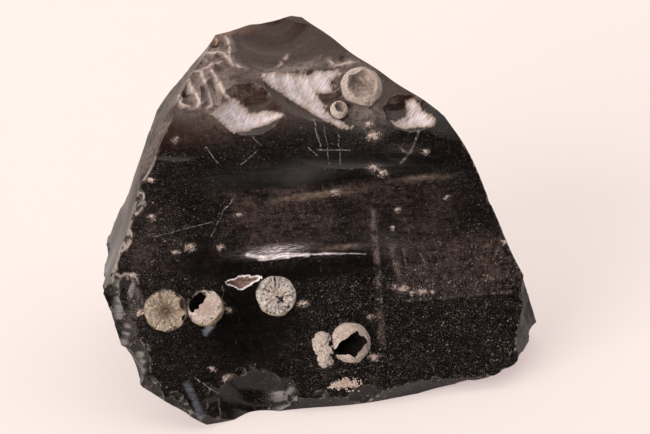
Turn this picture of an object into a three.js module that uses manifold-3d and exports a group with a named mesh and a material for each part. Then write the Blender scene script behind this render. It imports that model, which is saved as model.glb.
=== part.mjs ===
// A chunk of snowflake obsidian: black volcanic glass, broken on every side, with pale balls of
// crystal, its "snowflakes", set in it. Millimetres, +Z up, +Y towards the back. The chunk stands
// on a small flat spot, and the origin is on the ground, in the middle of its footprint.
//
// The glass is broken as a knapper would break it. A block loses one slab for each large face,
// then one shell-shaped flake for each scar. Each snowflake sits in a round socket of its own.

import * as THREE from "three";
import { mergeVertices } from "three/addons/utils/BufferGeometryUtils.js";
import Module from "manifold-3d";

const wasm = await Module();
wasm.setup();

// ---- Driving dimensions -------------------------------------------------------------------

const BLOCK = 150; // the raw block, larger than the chunk on every side
const SLAB = 180; // a slab that comes off a face is this wide and this thick
const BOW_OVER = 40; // a face's bow is measured this far from its middle
const SEAM = 0.3; // the gap between a snowflake and the glass around it
const TIDY = 0.05; // slivers thinner than this are merged away
const MOUTH_MARGIN = 1.5; // a flake's tool reaches this many times as far as the scar's mouth
const SCAR_ROWS = 2.8; // rows of facets in half of a scar's mouth
const RIPPLE_HEIGHT = 0.06; // a scar's ripples, as a share of its depth
const RIPPLE_LENGTH = 0.55; // and from one to the next, as a share of half its mouth
const GLASS = 0x0c0b0b; // black
const TAN = 0xb5a27c; // crystal with a yellow tinge
const CREAM = 0xc9b9a0; // crystal, cream to pinkish
const GREY = 0x98908a; // crystal under dust

// ---- Large faces --------------------------------------------------------------------------
// at is the middle of the face. azimuth 0 faces the front, 90 the right and 180 the back, and
// elevation 90 faces up. bow is how far the face sinks (+) or swells (-) away from its middle.
// cell is the size of its facets, across and up.

const FRONT = {
  at: [-2.1, -6.1, 33.2],
  azimuth: 14,
  elevation: 34,
  bow: 0,
  cell: [6.5, 3.15],
};

const SHOULDER = {
  at: [-5, 22, 66.9],
  azimuth: 20,
  elevation: 58,
  bow: 0.8,
  cell: [6, 6],
};

const LEFT = { at: [-45.9, -7, 47], azimuth: -85, elevation: 24.5, bow: 1.1, cell: [9, 9] };
const RIGHT = { at: [46, 7, 35], azimuth: 108, elevation: 19, bow: 0.5, cell: [9, 9] };
const BACK = { at: [-9, 43, 70], azimuth: 176, elevation: 8, bow: -1.5, cell: [11, 11] };

const FACES = [
  FRONT,
  SHOULDER,
  LEFT,
  RIGHT,
  BACK,
  { at: [-35.4, 7.1, 64.6], azimuth: -85, elevation: 39, bow: 0.5, cell: [9, 9] }, // left, high up
  { at: [-46, 26.5, 39.5], azimuth: -125, elevation: 12, bow: -1.5, cell: [12, 12] }, // back left corner
  { at: [14.2, 30.3, 69.4], azimuth: 138, elevation: 27, bow: 0.5, cell: [9, 9] }, // right of the crest
  { at: [38, 17, 53], azimuth: 100, elevation: 36, bow: 0, cell: [9, 9] }, // right shoulder
  { at: [51.6, -5, 14], azimuth: 67, elevation: 6, bow: 0.6, cell: [6, 6] }, // right foot
  { at: [58.6, 9, 8], azimuth: 118, elevation: 6, bow: -1, cell: [9, 9] }, // right heel
  { at: [-30, 40, 45], azimuth: -152, elevation: 14, bow: 0, cell: [12, 12] }, // back, to the left
  { at: [34, 36, 30], azimuth: 150, elevation: 16, bow: -1.5, cell: [12, 12] }, // back, to the right
  { at: [24.2, -19.9, 3.9], azimuth: 14, elevation: -22, bow: 0, cell: [9, 9] }, // lip at the foot
  { at: [-33.2, -34, 4.2], azimuth: -58, elevation: -49, bow: 0, cell: [6, 6] }, // under the left foot
  { at: [-48.6, -26, 20], azimuth: -86, elevation: -26, bow: 0.4, cell: [6, 6] }, // under the left side
  { at: [30, 2, 0], azimuth: 78, elevation: -76, bow: 0, cell: [14, 14] }, // under the right foot
  { at: [0, 33, 0], azimuth: 178, elevation: -60, bow: 0, cell: [14, 14] }, // under the back
];

// Crests that cross the front like frozen waves. from and to are across and up from its middle,
// above is how gently the crest rises to its line, and below is how sharply it drops after it.

const CRESTS = [
  { from: [-20, 3.5], to: [16, -1.5], height: 1.1, above: 7, below: 2.6 },
  { from: [-6, 17.2], to: [40, 14.8], height: 0.9, above: 6, below: 2.4 },
  { from: [13, -13.2], to: [56, -15], height: 1.2, above: 8, below: 1.6 },
  { from: [-26, 26], to: [8, 25], height: 0.6, above: 7, below: 4 },
];

// Broad hollows in the front: at and reach are across and up.

const HOLLOWS = [
  { at: [-17, -20], reach: [9, 9], depth: 1.4 },
  { at: [24, 4], reach: [9, 5], depth: 0.7 },
  { at: [-30, 14], reach: [14, 8], depth: 0.7 },
];

// ---- Scars --------------------------------------------------------------------------------
// Each is the bowl that one flake left. wide and tall are half of its mouth, deep is the bowl's
// depth, and roll turns the mouth in its own plane.

const SCARS = [
  // The smooth scoop that makes the crest thin.
  { at: [-10.4, 31.6, 75], azimuth: 17, elevation: 60, roll: 0, wide: 14.6, tall: 12.6, deep: 3 },
  // The three bowls with ribbed rims where the front meets the shoulder.
  { at: [-17.6, 14.6, 65.6], azimuth: 14, elevation: 45, roll: 0, wide: 9.6, tall: 9.2, deep: 3.6 },
  { at: [-0.9, 19.8, 65.3], azimuth: 8, elevation: 52, roll: -27, wide: 13.8, tall: 7.4, deep: 3.6 },
  { at: [21.4, 22, 61], azimuth: 24, elevation: 47, roll: 10, wide: 6.6, tall: 7, deep: 2.6 },
  // Small chips left of the crest.
  { at: [-30.6, 22.6, 72.1], azimuth: 0, elevation: 52, roll: 12, wide: 3.8, tall: 5.4, deep: 1.8 },
  { at: [-28, 29.4, 75.8], azimuth: -5, elevation: 52, roll: 0, wide: 4, tall: 4.6, deep: 1.8 },
  { at: [-32.6, 15.5, 68], azimuth: -4, elevation: 50, roll: 15, wide: 3.8, tall: 4.6, deep: 1.6 },
  { at: [-26.9, 16.3, 67.7], azimuth: 10, elevation: 52, roll: -10, wide: 3.4, tall: 6, deep: 1.8 },
  { at: [-35, 12.5, 66.4], azimuth: 0, elevation: 46, roll: 0, wide: 2.6, tall: 3, deep: 1.1 },
  // Hollows at the front's lower left edge.
  { at: [-15.5, -28, 5.6], azimuth: 14, elevation: 14, roll: -20, wide: 10, tall: 9.2, deep: 4.4 },
  { at: [-25, -31.8, 5.6], azimuth: 20, elevation: 26, roll: 12, wide: 3, tall: 6.4, deep: 1.8 },
  { at: [-4.9, -27, 0.9], azimuth: 12, elevation: -5, roll: 0, wide: 2.6, tall: 3, deep: 1.5 },
  { at: [-49.6, -20.8, 28.6], azimuth: -20, elevation: 22, roll: 10, wide: 5, tall: 9, deep: 2.2 },
  { at: [-47.2, -23.5, 23], azimuth: -25, elevation: 10, roll: 0, wide: 4, tall: 5, deep: 1.6 },
  { at: [-43.2, -27.2, 17.6], azimuth: -35, elevation: 8, roll: 30, wide: 3.5, tall: 5, deep: 1.4 },
  { at: [-46.4, -27.4, 13.4], azimuth: -72, elevation: -14, roll: 0, wide: 8, tall: 5.6, deep: 3 },
  { at: [-40.8, -31.6, 10], azimuth: -30, elevation: 5, roll: 0, wide: 4.5, tall: 3.4, deep: 1.3 },
  { at: [-34, -33.6, 6.4], azimuth: -10, elevation: 0, roll: 0, wide: 5, tall: 3.4, deep: 1.2 },
  // Right foot, right side, left side and back.
  { at: [53, 1, 15], azimuth: 84, elevation: 8, roll: 0, wide: 6, tall: 9, deep: 1.6 },
  { at: [49, 12, 36], azimuth: 106, elevation: 20, roll: 15, wide: 12, tall: 13, deep: 2.4 },
  { at: [30, 30, 52], azimuth: 130, elevation: 26, roll: -20, wide: 12, tall: 10, deep: 2.6 },
  { at: [-48, 22, 40], azimuth: -100, elevation: 18, roll: 0, wide: 12, tall: 17, deep: 2.2 },
  { at: [-12, 47, 52], azimuth: 178, elevation: 8, roll: 0, wide: 20, tall: 17, deep: 3.6 },
  { at: [26, 45, 28], azimuth: 158, elevation: 12, roll: 25, wide: 17, tall: 14, deep: 3.2 },
  { at: [-28, 45, 22], azimuth: -158, elevation: 0, roll: -20, wide: 15, tall: 12, deep: 3 },
  { at: [2, 50, 16], azimuth: 176, elevation: -10, roll: 0, wide: 13, tall: 10, deep: 2.4 },
];

// ---- Snowflakes ---------------------------------------------------------------------------
// place is where a snowflake meets the glass and which way it looks. Its balls, its broken face
// and its hollows are across, up and out from there. rough is how bumpy a ball or hollow is.
// A broken face stands lift above the glass, tilts by slope and sinks to a shallow dish, with
// fibres that run out from its middle.

const onFront = (across, up) => ({ on: FRONT, across, up });

const SNOWFLAKES = [
  {
    name: "snowflake_left",
    color: TAN,
    place: onFront(-37.9, -9.4),
    balls: [{ at: [0, 0, -1.5], radius: 5.3, rough: 0.04 }],
    face: { lift: 0.1, slope: [0, 0], dish: 0.6, fibres: 13, relief: 0.08 },
  },
  {
    name: "snowflake_left_hollow",
    place: onFront(-28.2, -10),
    balls: [{ at: [0, 0, 0], radius: 4.5, rough: 0.06 }],
    face: { lift: 1.6, slope: [0.38, -0.34], dish: 0.2, fibres: 9, relief: 0.06 },
    hollows: [{ at: [-1.5, 1.6, 0.6], radius: 2.5, rough: 0.25 }],
  },
  {
    name: "snowflake_middle",
    place: onFront(-10.1, -9),
    balls: [{ at: [0, 0, -0.6], radius: 5, rough: 0.08 }],
    face: { lift: 1.2, slope: [0.1, -0.14], dish: 0.3, fibres: 14, relief: 0.12 },
  },
  {
    name: "snowflake_right_hollow",
    place: onFront(6.6, -22.9),
    balls: [
      { at: [0, 0, 0.2], radius: 5.1, rough: 0.12 },
      { at: [-6.8, 1.2, 0.2], radius: 2.6, rough: 0.3 },
      { at: [-6.6, -1.8, 0.1], radius: 2.3, rough: 0.3 },
      { at: [-5.2, -3.8, 0], radius: 2, rough: 0.25 },
    ],
    hollows: [{ at: [-0.2, -0.7, 2.8], radius: 3, rough: 0.3, stretch: [1.3, 0.85, 1.3] }],
  },
  {
    name: "snowflake_low_crust",
    place: onFront(4.2, -32.4),
    balls: [
      { at: [-2.4, 0.2, -0.4], radius: 1.3, rough: 0.2, stretch: [1.5, 1, 0.8] },
      { at: [0.2, -0.1, -0.4], radius: 1.4, rough: 0.25, stretch: [1.3, 1, 0.8] },
      { at: [2.6, 0.3, -0.4], radius: 1.4, rough: 0.25, stretch: [1.3, 1.1, 0.8] },
    ],
  },
  {
    name: "snowflake_top_cup",
    color: GREY,
    place: { at: [10.6, 24.6, 65.5], azimuth: 12, elevation: 50 },
    balls: [{ at: [0, 0, -0.8], radius: 5.4, rough: 0.12 }],
    hollows: [{ at: [-0.7, 1, 2.4], radius: 4.2, rough: 0.2 }],
  },
  {
    name: "snowflake_top_small",
    color: GREY,
    place: { at: [4.8, 17.6, 62.2], azimuth: 8, elevation: 48 },
    balls: [{ at: [0, 0, 0], radius: 2.2, rough: 0.08 }],
    hollows: [{ at: [0.2, 0.3, 1.4], radius: 1.3, rough: 0.1 }],
  },
  {
    name: "snowflake_right_side",
    place: { on: RIGHT, across: 14, up: -16 },
    balls: [{ at: [0, 0, -1.2], radius: 4.6, rough: 0.06 }],
    face: { lift: 0.3, slope: [0.05, -0.05], dish: 0.4, fibres: 10, relief: 0.08 },
  },
  {
    name: "snowflake_back",
    place: { on: BACK, across: 4, up: -4 },
    balls: [{ at: [0, 0, -0.8], radius: 5, rough: 0.08 }],
    face: { lift: 0.6, slope: [-0.08, 0.1], dish: 0.4, fibres: 10, relief: 0.1 },
  },
];

// ---- Pits ---------------------------------------------------------------------------------

// A flat, three-cornered bubble that broke open in the front, across and up from its middle.
const BUBBLE = { corners: [[-22.2, -4.3], [-18.3, -6.3], [-13.2, -3.9], [-17.7, -3.1]], deep: 1.2 };

// A small round hole beside the cup on the shoulder.
const HOLE = { at: [3.4, 23.6, 66.2], radius: 1.3 };

// ---- Helpers ------------------------------------------------------------------------------

const TURN = 2 * Math.PI;

// The frame of a face or scar: x runs across it, y up it and z out of the stone.
function frameOf({ at, azimuth, elevation, roll = 0 }) {
  const a = THREE.MathUtils.degToRad(azimuth);
  const e = THREE.MathUtils.degToRad(elevation);
  const out = new THREE.Vector3(Math.sin(a) * Math.cos(e), -Math.cos(a) * Math.cos(e), Math.sin(e));
  const across = new THREE.Vector3(Math.cos(a), Math.sin(a), 0);
  const up = new THREE.Vector3().crossVectors(out, across);
  const frame = new THREE.Matrix4().makeBasis(across, up, out);
  frame.multiply(new THREE.Matrix4().makeRotationZ(THREE.MathUtils.degToRad(roll)));
  return frame.setPosition(new THREE.Vector3(...at));
}

// A three.js geometry as a solid that can be cut. Triangles that merging has flattened go.
function solidOf(geometry) {
  geometry.deleteAttribute("normal");
  geometry.deleteAttribute("uv");
  const { attributes, index } = mergeVertices(geometry);
  const corners = [];
  for (let i = 0; i < index.count; i += 3) {
    const [a, b, c] = index.array.slice(i, i + 3);
    if (a !== b && b !== c && c !== a) corners.push(a, b, c);
  }
  const vertProperties = attributes.position.array;
  const triVerts = Uint32Array.from(corners);
  return new wasm.Manifold(new wasm.Mesh({ numProp: 3, vertProperties, triVerts }));
}

function geometryOf(solid) {
  const { vertProperties, triVerts } = solid.getMesh();
  const geometry = new THREE.BufferGeometry();
  geometry.setAttribute("position", new THREE.BufferAttribute(vertProperties, 3));
  return geometry.setIndex(new THREE.BufferAttribute(triVerts, 1));
}

// ---- Shapes of the broken glass -----------------------------------------------------------

// Slow swells, which cross each face in its own direction.
const SWELLS = [
  { length: 43, height: 0.5 },
  { length: 24, height: 0.28 },
  { length: 13, height: 0.14 },
];

function swellAt(seed, x, y) {
  return SWELLS.reduce((sum, { length, height }, k) => {
    const heading = 2.4 * seed + 1.1 * k;
    const along = x * Math.cos(heading) + y * Math.sin(heading);
    return sum + height * Math.sin((TURN * along) / length + 1.7 * seed + k);
  }, 0);
}

const CREST_FADE = 0.2; // a crest rises from nothing over this share of its length

// One crest: a soft rise above its line, a sharper drop below it, fading at both ends.
function crestAt({ from, to, height, above, below }, x, y) {
  const run = new THREE.Vector2(to[0] - from[0], to[1] - from[1]);
  const point = new THREE.Vector2(x - from[0], y - from[1]);
  const length = run.length();
  const along = run.dot(point) / length;
  const off = run.cross(point) / length;
  const fromEnd = Math.min(along, length - along);
  const fade = THREE.MathUtils.smoothstep(fromEnd, 0, CREST_FADE * length);
  const reach = off > 0 ? above : below;
  return height * fade * Math.exp(-((off / reach) ** 2));
}

function hollowAt({ at, reach, depth }, x, y) {
  return -depth * Math.exp(-(((x - at[0]) / reach[0]) ** 2) - ((y - at[1]) / reach[1]) ** 2);
}

function heightOn(face, x, y) {
  const plain = (-face.bow * (x * x + y * y)) / BOW_OVER ** 2 + swellAt(FACES.indexOf(face), x, y);
  if (face !== FRONT) return plain;
  const crests = CRESTS.reduce((sum, crest) => sum + crestAt(crest, x, y), 0);
  return plain + HOLLOWS.reduce((sum, hollow) => sum + hollowAt(hollow, x, y), crests);
}

// A bowl with ripples that spread from the point of the blow, near the top of its mouth.
function bowlAt({ wide, tall, deep }, x, y) {
  const share = (x / wide) ** 2 + (y / tall) ** 2;
  const fromBlow = Math.hypot(x, y - tall);
  const ripple = Math.sin((TURN * fromBlow) / (RIPPLE_LENGTH * tall));
  return deep * (share - 1 + RIPPLE_HEIGHT * ripple);
}

// A tool is a thick plate whose underside has the wanted shape, set in the face's frame.
function toolFor(place, width, height, cell, shapeAt) {
  const columns = Math.round(width / cell[0]);
  const rows = Math.round(height / cell[1]);
  const plate = new THREE.BoxGeometry(width, height, SLAB, columns, rows, 1);
  const p = plate.attributes.position;
  for (let i = 0; i < p.count; i++) {
    const outside = p.getZ(i) > 0;
    p.setZ(i, outside ? SLAB : shapeAt(p.getX(i), p.getY(i)));
  }
  return solidOf(plate.applyMatrix4(frameOf(place)));
}

function slabOf(face) {
  return toolFor(face, SLAB, SLAB, face.cell, (x, y) => heightOn(face, x, y));
}

function flakeOf(scar) {
  const cell = scar.tall / SCAR_ROWS;
  const [width, height] = [2 * MOUTH_MARGIN * scar.wide, 2 * MOUTH_MARGIN * scar.tall];
  return toolFor(scar, width, height, [cell, cell], (x, y) => bowlAt(scar, x, y));
}

// ---- Shapes of the snowflakes -------------------------------------------------------------

const BUMPS = [4, 6, 9]; // how tightly bumps are packed round a rough ball, coarse to fine
const LARGE_BALL = 4; // a ball of more than this radius has the finer facets
const PLUG_RINGS = [0, 0.3, 0.65, 1.3]; // rings of a plug's face, as shares of the ball's radius
const PLUG_TALL = 3; // and its length, as a share of the same

// The frame of a snowflake's place: on a large face it follows the glass.
function frameAt(place) {
  if (!place.on) return frameOf(place);
  const out = heightOn(place.on, place.across, place.up);
  return frameOf(place.on).multiply(new THREE.Matrix4().makeTranslation(place.across, place.up, out));
}

// How far a bumpy ball stands out in one direction, from about -3 to 3.
function bumpAt([shiftX, shiftY], { x, y, z }) {
  let sum = 0;
  for (const [k, n] of BUMPS.entries()) {
    sum += Math.sin(n * x + shiftX + k) * Math.sin(n * y + shiftY) * Math.cos(n * z);
  }
  return sum;
}

// A bumpy ball, grown by an even margin where it is used to cut its own socket.
function ballOf({ at, radius, rough = 0, stretch = [1, 1, 1] }, margin = 0) {
  const ball = new THREE.IcosahedronGeometry(1, radius > LARGE_BALL ? 2 : 1);
  const p = ball.attributes.position;
  const way = new THREE.Vector3();
  for (let i = 0; i < p.count; i++) {
    const bump = bumpAt(at, way.fromBufferAttribute(p, i));
    const [x, y, z] = stretch.map((share) => share * (radius + rough * bump) + margin);
    p.setXYZ(i, x * way.x, y * way.y, z * way.z);
  }
  return solidOf(ball.translate(...at));
}

// What is broken off above a snowflake's face: a round plug whose end is dished and fluted.
function plugOf({ lift, slope, dish, fibres, relief }, radius) {
  const profile = PLUG_RINGS.map((share) => new THREE.Vector2(share * radius, dish * (share ** 2 - 1)));
  const top = PLUG_TALL * radius;
  profile.push(new THREE.Vector2(profile.at(-1).x, top), new THREE.Vector2(0, top));
  const plug = new THREE.LatheGeometry(profile, 2 * fibres).rotateX(Math.PI / 2);
  const p = plug.attributes.position;
  for (let i = 0; i < p.count; i++) {
    const [x, y, z] = [p.getX(i), p.getY(i), p.getZ(i)];
    const onFace = z < top / 2;
    if (!onFace) continue;
    const outward = Math.min(1, Math.hypot(x, y) / radius);
    const flute = relief * outward * Math.cos(fibres * Math.atan2(y, x));
    p.setZ(i, z + lift + slope[0] * x + slope[1] * y + flute);
  }
  return solidOf(plug);
}

function union(solids) {
  return solids.reduce((whole, solid) => whole.add(solid));
}

function snowflakeOf({ place, balls, face, hollows = [] }) {
  let solid = union(balls.map((ball) => ballOf(ball)));
  if (face) solid = solid.subtract(plugOf(face, balls[0].radius));
  for (const hollow of hollows) {
    solid = solid.subtract(ballOf(hollow));
  }
  return solid.transform(frameAt(place).toArray()).simplify(TIDY);
}

function socketOf({ place, balls }) {
  return union(balls.map((ball) => ballOf(ball, SEAM))).transform(frameAt(place).toArray());
}

// ---- The chunk ----------------------------------------------------------------------------

function bubbleTool() {
  const mouth = new THREE.Shape(BUBBLE.corners.map(([x, y]) => new THREE.Vector2(x, y)));
  const tool = new THREE.ExtrudeGeometry(mouth, { depth: 3 * BUBBLE.deep, bevelEnabled: false });
  const [x, y] = BUBBLE.corners[1];
  tool.translate(0, 0, heightOn(FRONT, x, y) - BUBBLE.deep);
  return solidOf(tool.applyMatrix4(frameOf(FRONT)));
}

function breakBlock() {
  const block = new THREE.BoxGeometry(BLOCK, BLOCK, BLOCK);
  let stone = solidOf(block.translate(0, 0, BLOCK / 2));
  for (const face of FACES) {
    stone = stone.subtract(slabOf(face));
  }
  for (const scar of SCARS) {
    stone = stone.subtract(flakeOf(scar));
  }
  for (const snowflake of SNOWFLAKES) {
    stone = stone.subtract(socketOf(snowflake));
  }
  stone = stone.subtract(bubbleTool()).subtract(ballOf(HOLE));
  return stone.simplify(TIDY);
}

function pieceOf(name, solid, color, roughness) {
  const material = new THREE.MeshStandardMaterial({ color, roughness, metalness: 0 });
  const mesh = new THREE.Mesh(geometryOf(solid), material);
  mesh.name = name;
  return mesh;
}

const chunk = new THREE.Group();
chunk.add(pieceOf("obsidian_block", breakBlock(), GLASS, 0.18));
for (const snowflake of SNOWFLAKES) {
  chunk.add(pieceOf(snowflake.name, snowflakeOf(snowflake), snowflake.color ?? CREAM, 0.85));
}

// The origin is on the ground, in the middle of the footprint.
const middle = new THREE.Box3().setFromObject(chunk).getCenter(new THREE.Vector3());
chunk.position.set(-middle.x, -middle.y, 0);

export default chunk;
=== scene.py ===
# %% [markdown]
# # A broken chunk of snowflake obsidian
#
# Obsidian is lava that froze to glass before crystals could grow. Here and there a few did
# start, and grew outwards from a point as small round balls: the "snowflakes". When the glass
# breaks it parts along shell-shaped bowls with ripples in them, like the bottom of a bottle.
#
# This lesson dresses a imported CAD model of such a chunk. The CAD solids have the right shape
# and size, but few faces. Each is replaced here by a fine mesh that is built in the same way,
# from the same sizes, with the small marks that make it look like broken glass.

# %% Load the frame
import math
from collections import namedtuple

import bmesh
import bpy
import numpy as np
from mathutils import Matrix, Vector
from mathutils.bvhtree import BVHTree
from mathutils.kdtree import KDTree


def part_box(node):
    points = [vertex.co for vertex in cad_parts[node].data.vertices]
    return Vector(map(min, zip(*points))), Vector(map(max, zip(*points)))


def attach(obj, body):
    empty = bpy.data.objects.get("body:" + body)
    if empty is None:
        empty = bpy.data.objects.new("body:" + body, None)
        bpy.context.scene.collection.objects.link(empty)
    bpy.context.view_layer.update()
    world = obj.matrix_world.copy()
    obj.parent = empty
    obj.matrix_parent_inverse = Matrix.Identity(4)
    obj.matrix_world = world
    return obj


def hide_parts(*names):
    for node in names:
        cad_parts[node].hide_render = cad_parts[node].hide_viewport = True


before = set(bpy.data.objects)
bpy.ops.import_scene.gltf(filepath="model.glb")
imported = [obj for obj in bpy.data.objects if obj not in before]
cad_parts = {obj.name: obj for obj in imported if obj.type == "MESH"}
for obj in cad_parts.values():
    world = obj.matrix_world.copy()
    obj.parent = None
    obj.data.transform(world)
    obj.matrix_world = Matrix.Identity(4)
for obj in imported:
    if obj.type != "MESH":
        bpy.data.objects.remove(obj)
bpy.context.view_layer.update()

# %% [markdown]
# ## Units and directions
#
# Blender works in metres, and a stone that fits in the hand is easier to describe in
# millimetres. So everything is worked out in millimetres, in the place where the stone was
# broken, and moved and scaled once, at the end.
#
# Every face of the stone has a frame of its own: x runs across it, y up it and z out of it. A
# height over (x, y) is then all that a broken face needs.

# %% Units and frames
MM = 0.001
TURN = 2 * math.pi
FOOTPRINT_MIDDLE = (0.784, 9.513)  # the middle of the footprint, where the frame's origin is


def frame_of(at, azimuth, elevation, roll=0.0):
    """The frame of a face: azimuth 0 looks to the front, 90 to the right, elevation 90 up."""
    a, e = math.radians(azimuth), math.radians(elevation)
    out = Vector((math.sin(a) * math.cos(e), -math.cos(a) * math.cos(e), math.sin(e)))
    across = Vector((math.cos(a), math.sin(a), 0))
    up = out.cross(across)
    turned = Matrix((across, up, out)).transposed().to_4x4()
    return Matrix.Translation(at) @ turned @ Matrix.Rotation(math.radians(roll), 4, "Z")


def into(matrix, points):
    """Points in a frame's own x, y and z."""
    m = np.array(matrix.inverted())
    return points @ m[:3, :3].T + m[:3, 3]


def out_of(matrix, points):
    m = np.array(matrix)
    return points @ m[:3, :3].T + m[:3, 3]


def smooth(low, high, value):
    """0 below low, 1 above high, and a soft step between."""
    t = np.clip((value - low) / (high - low), 0, 1)
    return t * t * (3 - 2 * t)


print("the front's frame looks like", frame_of((0, 0, 0), 14, 34).to_3x3()[2][:])

# %% [markdown]
# ## The large faces
#
# The chunk could be sculpted by hand, but a broken stone has a logic: each face is what one
# blow left. So the raw block loses one slab for each large face. The sizes are the CAD model's
# own. fine is the size of the face's mesh cells here, much smaller than in the CAD solid.

# %% The large faces
Face = namedtuple("Face", "at azimuth elevation bow fine reach", defaults=(0, 1.2, (62, 62)))

FRONT = Face((-2.1, -6.1, 33.2), 14, 34, 0, 0.5, (60, 46))
SHOULDER = Face((-5, 22, 66.9), 20, 58, 0.8, 0.4, (48, 27))
LEFT = Face((-45.9, -7, 47), -85, 24.5, 1.1, 0.7, (50, 60))
RIGHT = Face((46, 7, 35), 108, 19, 0.5, 1.2)
BACK = Face((-9, 43, 70), 176, 8, -1.5, 1.2)
LEFT_HIGH = Face((-35.4, 7.1, 64.6), -85, 39, 0.5, 0.7, (40, 40))
RIGHT_FOOT = Face((51.6, -5, 14), 67, 6, 0.6, 0.6, (30, 40))

FACES = [
    FRONT,
    SHOULDER,
    LEFT,
    RIGHT,
    BACK,
    LEFT_HIGH,
    Face((-46, 26.5, 39.5), -125, 12, -1.5),  # back left corner
    Face((14.2, 30.3, 69.4), 138, 27, 0.5, 0.9),  # right of the crest
    Face((38, 17, 53), 100, 36),  # right shoulder
    RIGHT_FOOT,
    Face((58.6, 9, 8), 118, 6, -1),  # right heel
    Face((-30, 40, 45), -152, 14),  # back, to the left
    Face((34, 36, 30), 150, 16, -1.5),  # back, to the right
    Face((24.2, -19.9, 3.9), 14, -22, 0, 0.7),  # lip at the foot
    Face((-33.2, -34, 4.2), -58, -49, 0, 0.7, (40, 40)),  # under the left foot
    Face((-48.6, -26, 20), -86, -26, 0.4, 0.7, (40, 40)),  # under the left side
    Face((30, 2, 0), 78, -76),  # under the right foot
    Face((0, 33, 0), 178, -60),  # under the back
]

front = frame_of(*FRONT[:3])
shoulder = frame_of(*SHOULDER[:3])
print(len(FACES), "large faces")

# %% [markdown]
# ## Waves in the glass
#
# A crack runs through glass in waves. The front shows four crests that rise softly and drop
# sharply, and a few broad hollows. On top of those, fine streaks follow the crack's way, too
# low for the CAD solid: they only bend the reflections.

# %% Heights over a face
BOW_OVER = 40
SWELLS = [(43, 0.5), (24, 0.28), (13, 0.14)]  # length and height
CREST_FADE = 0.2

Crest = namedtuple("Crest", "start end height above below")
CRESTS = [
    Crest((-20, 3.5), (16, -1.5), 0.6, 7, 3),
    Crest((-6, 17.2), (40, 14.8), 0.22, 6, 3.6),
    Crest((13, -13.2), (56, -15), 0.4, 8, 3),
    Crest((-26, 26), (8, 25), 0.18, 7, 4),
]
FINE_CRESTS = [
    Crest((-18, 1.5), (-4, 1.1), 0.22, 1.6, 0.7),
    Crest((-6, 0.8), (15, -1.2), 0.18, 1.4, 0.6),
    Crest((-30, 10.2), (-6, 9), 0.1, 2.4, 0.8),
    Crest((-12, 12.5), (14, 12), 0.1, 2, 0.7),
    Crest((20, 6), (44, 2), 0.16, 2.4, 0.8),
    Crest((24, -3), (50, -7), 0.14, 2.6, 0.9),
    Crest((-40, 17), (-18, 18.5), 0.1, 2.4, 0.9),
    Crest((-44, -14.5), (-22, -19), 0.16, 2.2, 0.9),
    Crest((22, 24), (38, 20), 0.14, 2, 0.8),
    Crest((-4, 7.5), (20, 6.5), 0.08, 1.8, 0.7),
]
HOLLOWS = [((-17, -20), (9, 9), 1.4), ((24, 4), (9, 5), 0.7), ((-30, 14), (14, 8), 0.7)]
STREAK_HEIGHT = 0.009


def swell_at(seed, x, y):
    total = 0
    for k, (length, height) in enumerate(SWELLS):
        heading = 2.4 * seed + 1.1 * k
        along = x * math.cos(heading) + y * math.sin(heading)
        total = total + height * np.sin(TURN * along / length + 1.7 * seed + k)
    return total


def crest_at(crest, x, y):
    run = np.subtract(crest.end, crest.start)
    length = np.hypot(*run)
    dx, dy = x - crest.start[0], y - crest.start[1]
    along = (dx * run[0] + dy * run[1]) / length
    off = (dy * run[0] - dx * run[1]) / length
    fade = smooth(0, CREST_FADE * length, np.minimum(along, length - along))
    reach = np.where(off > 0, crest.above, crest.below)
    return crest.height * fade * np.exp(-((off / reach) ** 2))


def streaks_at(x, y):
    """Fine streaks that run across the face and wander a little."""
    bend = 1.6 * np.sin(x / 17) + 0.7 * np.sin(x / 6.1 + 2)
    total = 0
    for k, length in enumerate((3.1, 1.9, 1.27)):
        drift = 1 + 0.5 * np.sin(x / (9 + 2 * k) + y / 11 + 1.3 * k)
        total = total + drift * np.sin(TURN * (y + bend) / length + 0.4 * np.sin(x / 3.3) + k)
    return STREAK_HEIGHT * total


def height_on(face, x, y):
    plain = -face.bow * (x * x + y * y) / BOW_OVER**2 + swell_at(FACES.index(face), x, y)
    if face is not FRONT:
        return plain
    for crest in CRESTS + FINE_CRESTS:
        plain = plain + crest_at(crest, x, y)
    for (cx, cy), (rx, ry), depth in HOLLOWS:
        plain = plain - depth * np.exp(-(((x - cx) / rx) ** 2) - ((y - cy) / ry) ** 2)
    return plain + streaks_at(x, y)


print("height in the middle of the front, mm:", round(float(height_on(FRONT, 0.0, 0.0)), 2))

# %% [markdown]
# ## Scars
#
# Each blow near an edge takes off a flake and leaves a bowl. Its ripples spread from the point
# of the blow, near the top of its mouth. They could be painted as bumps, but they change the
# outline of every edge that they cross, so they are in the mesh.

# %% The scars
Scar = namedtuple("Scar", "at azimuth elevation roll wide tall deep fine", defaults=(0.45,))

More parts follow.
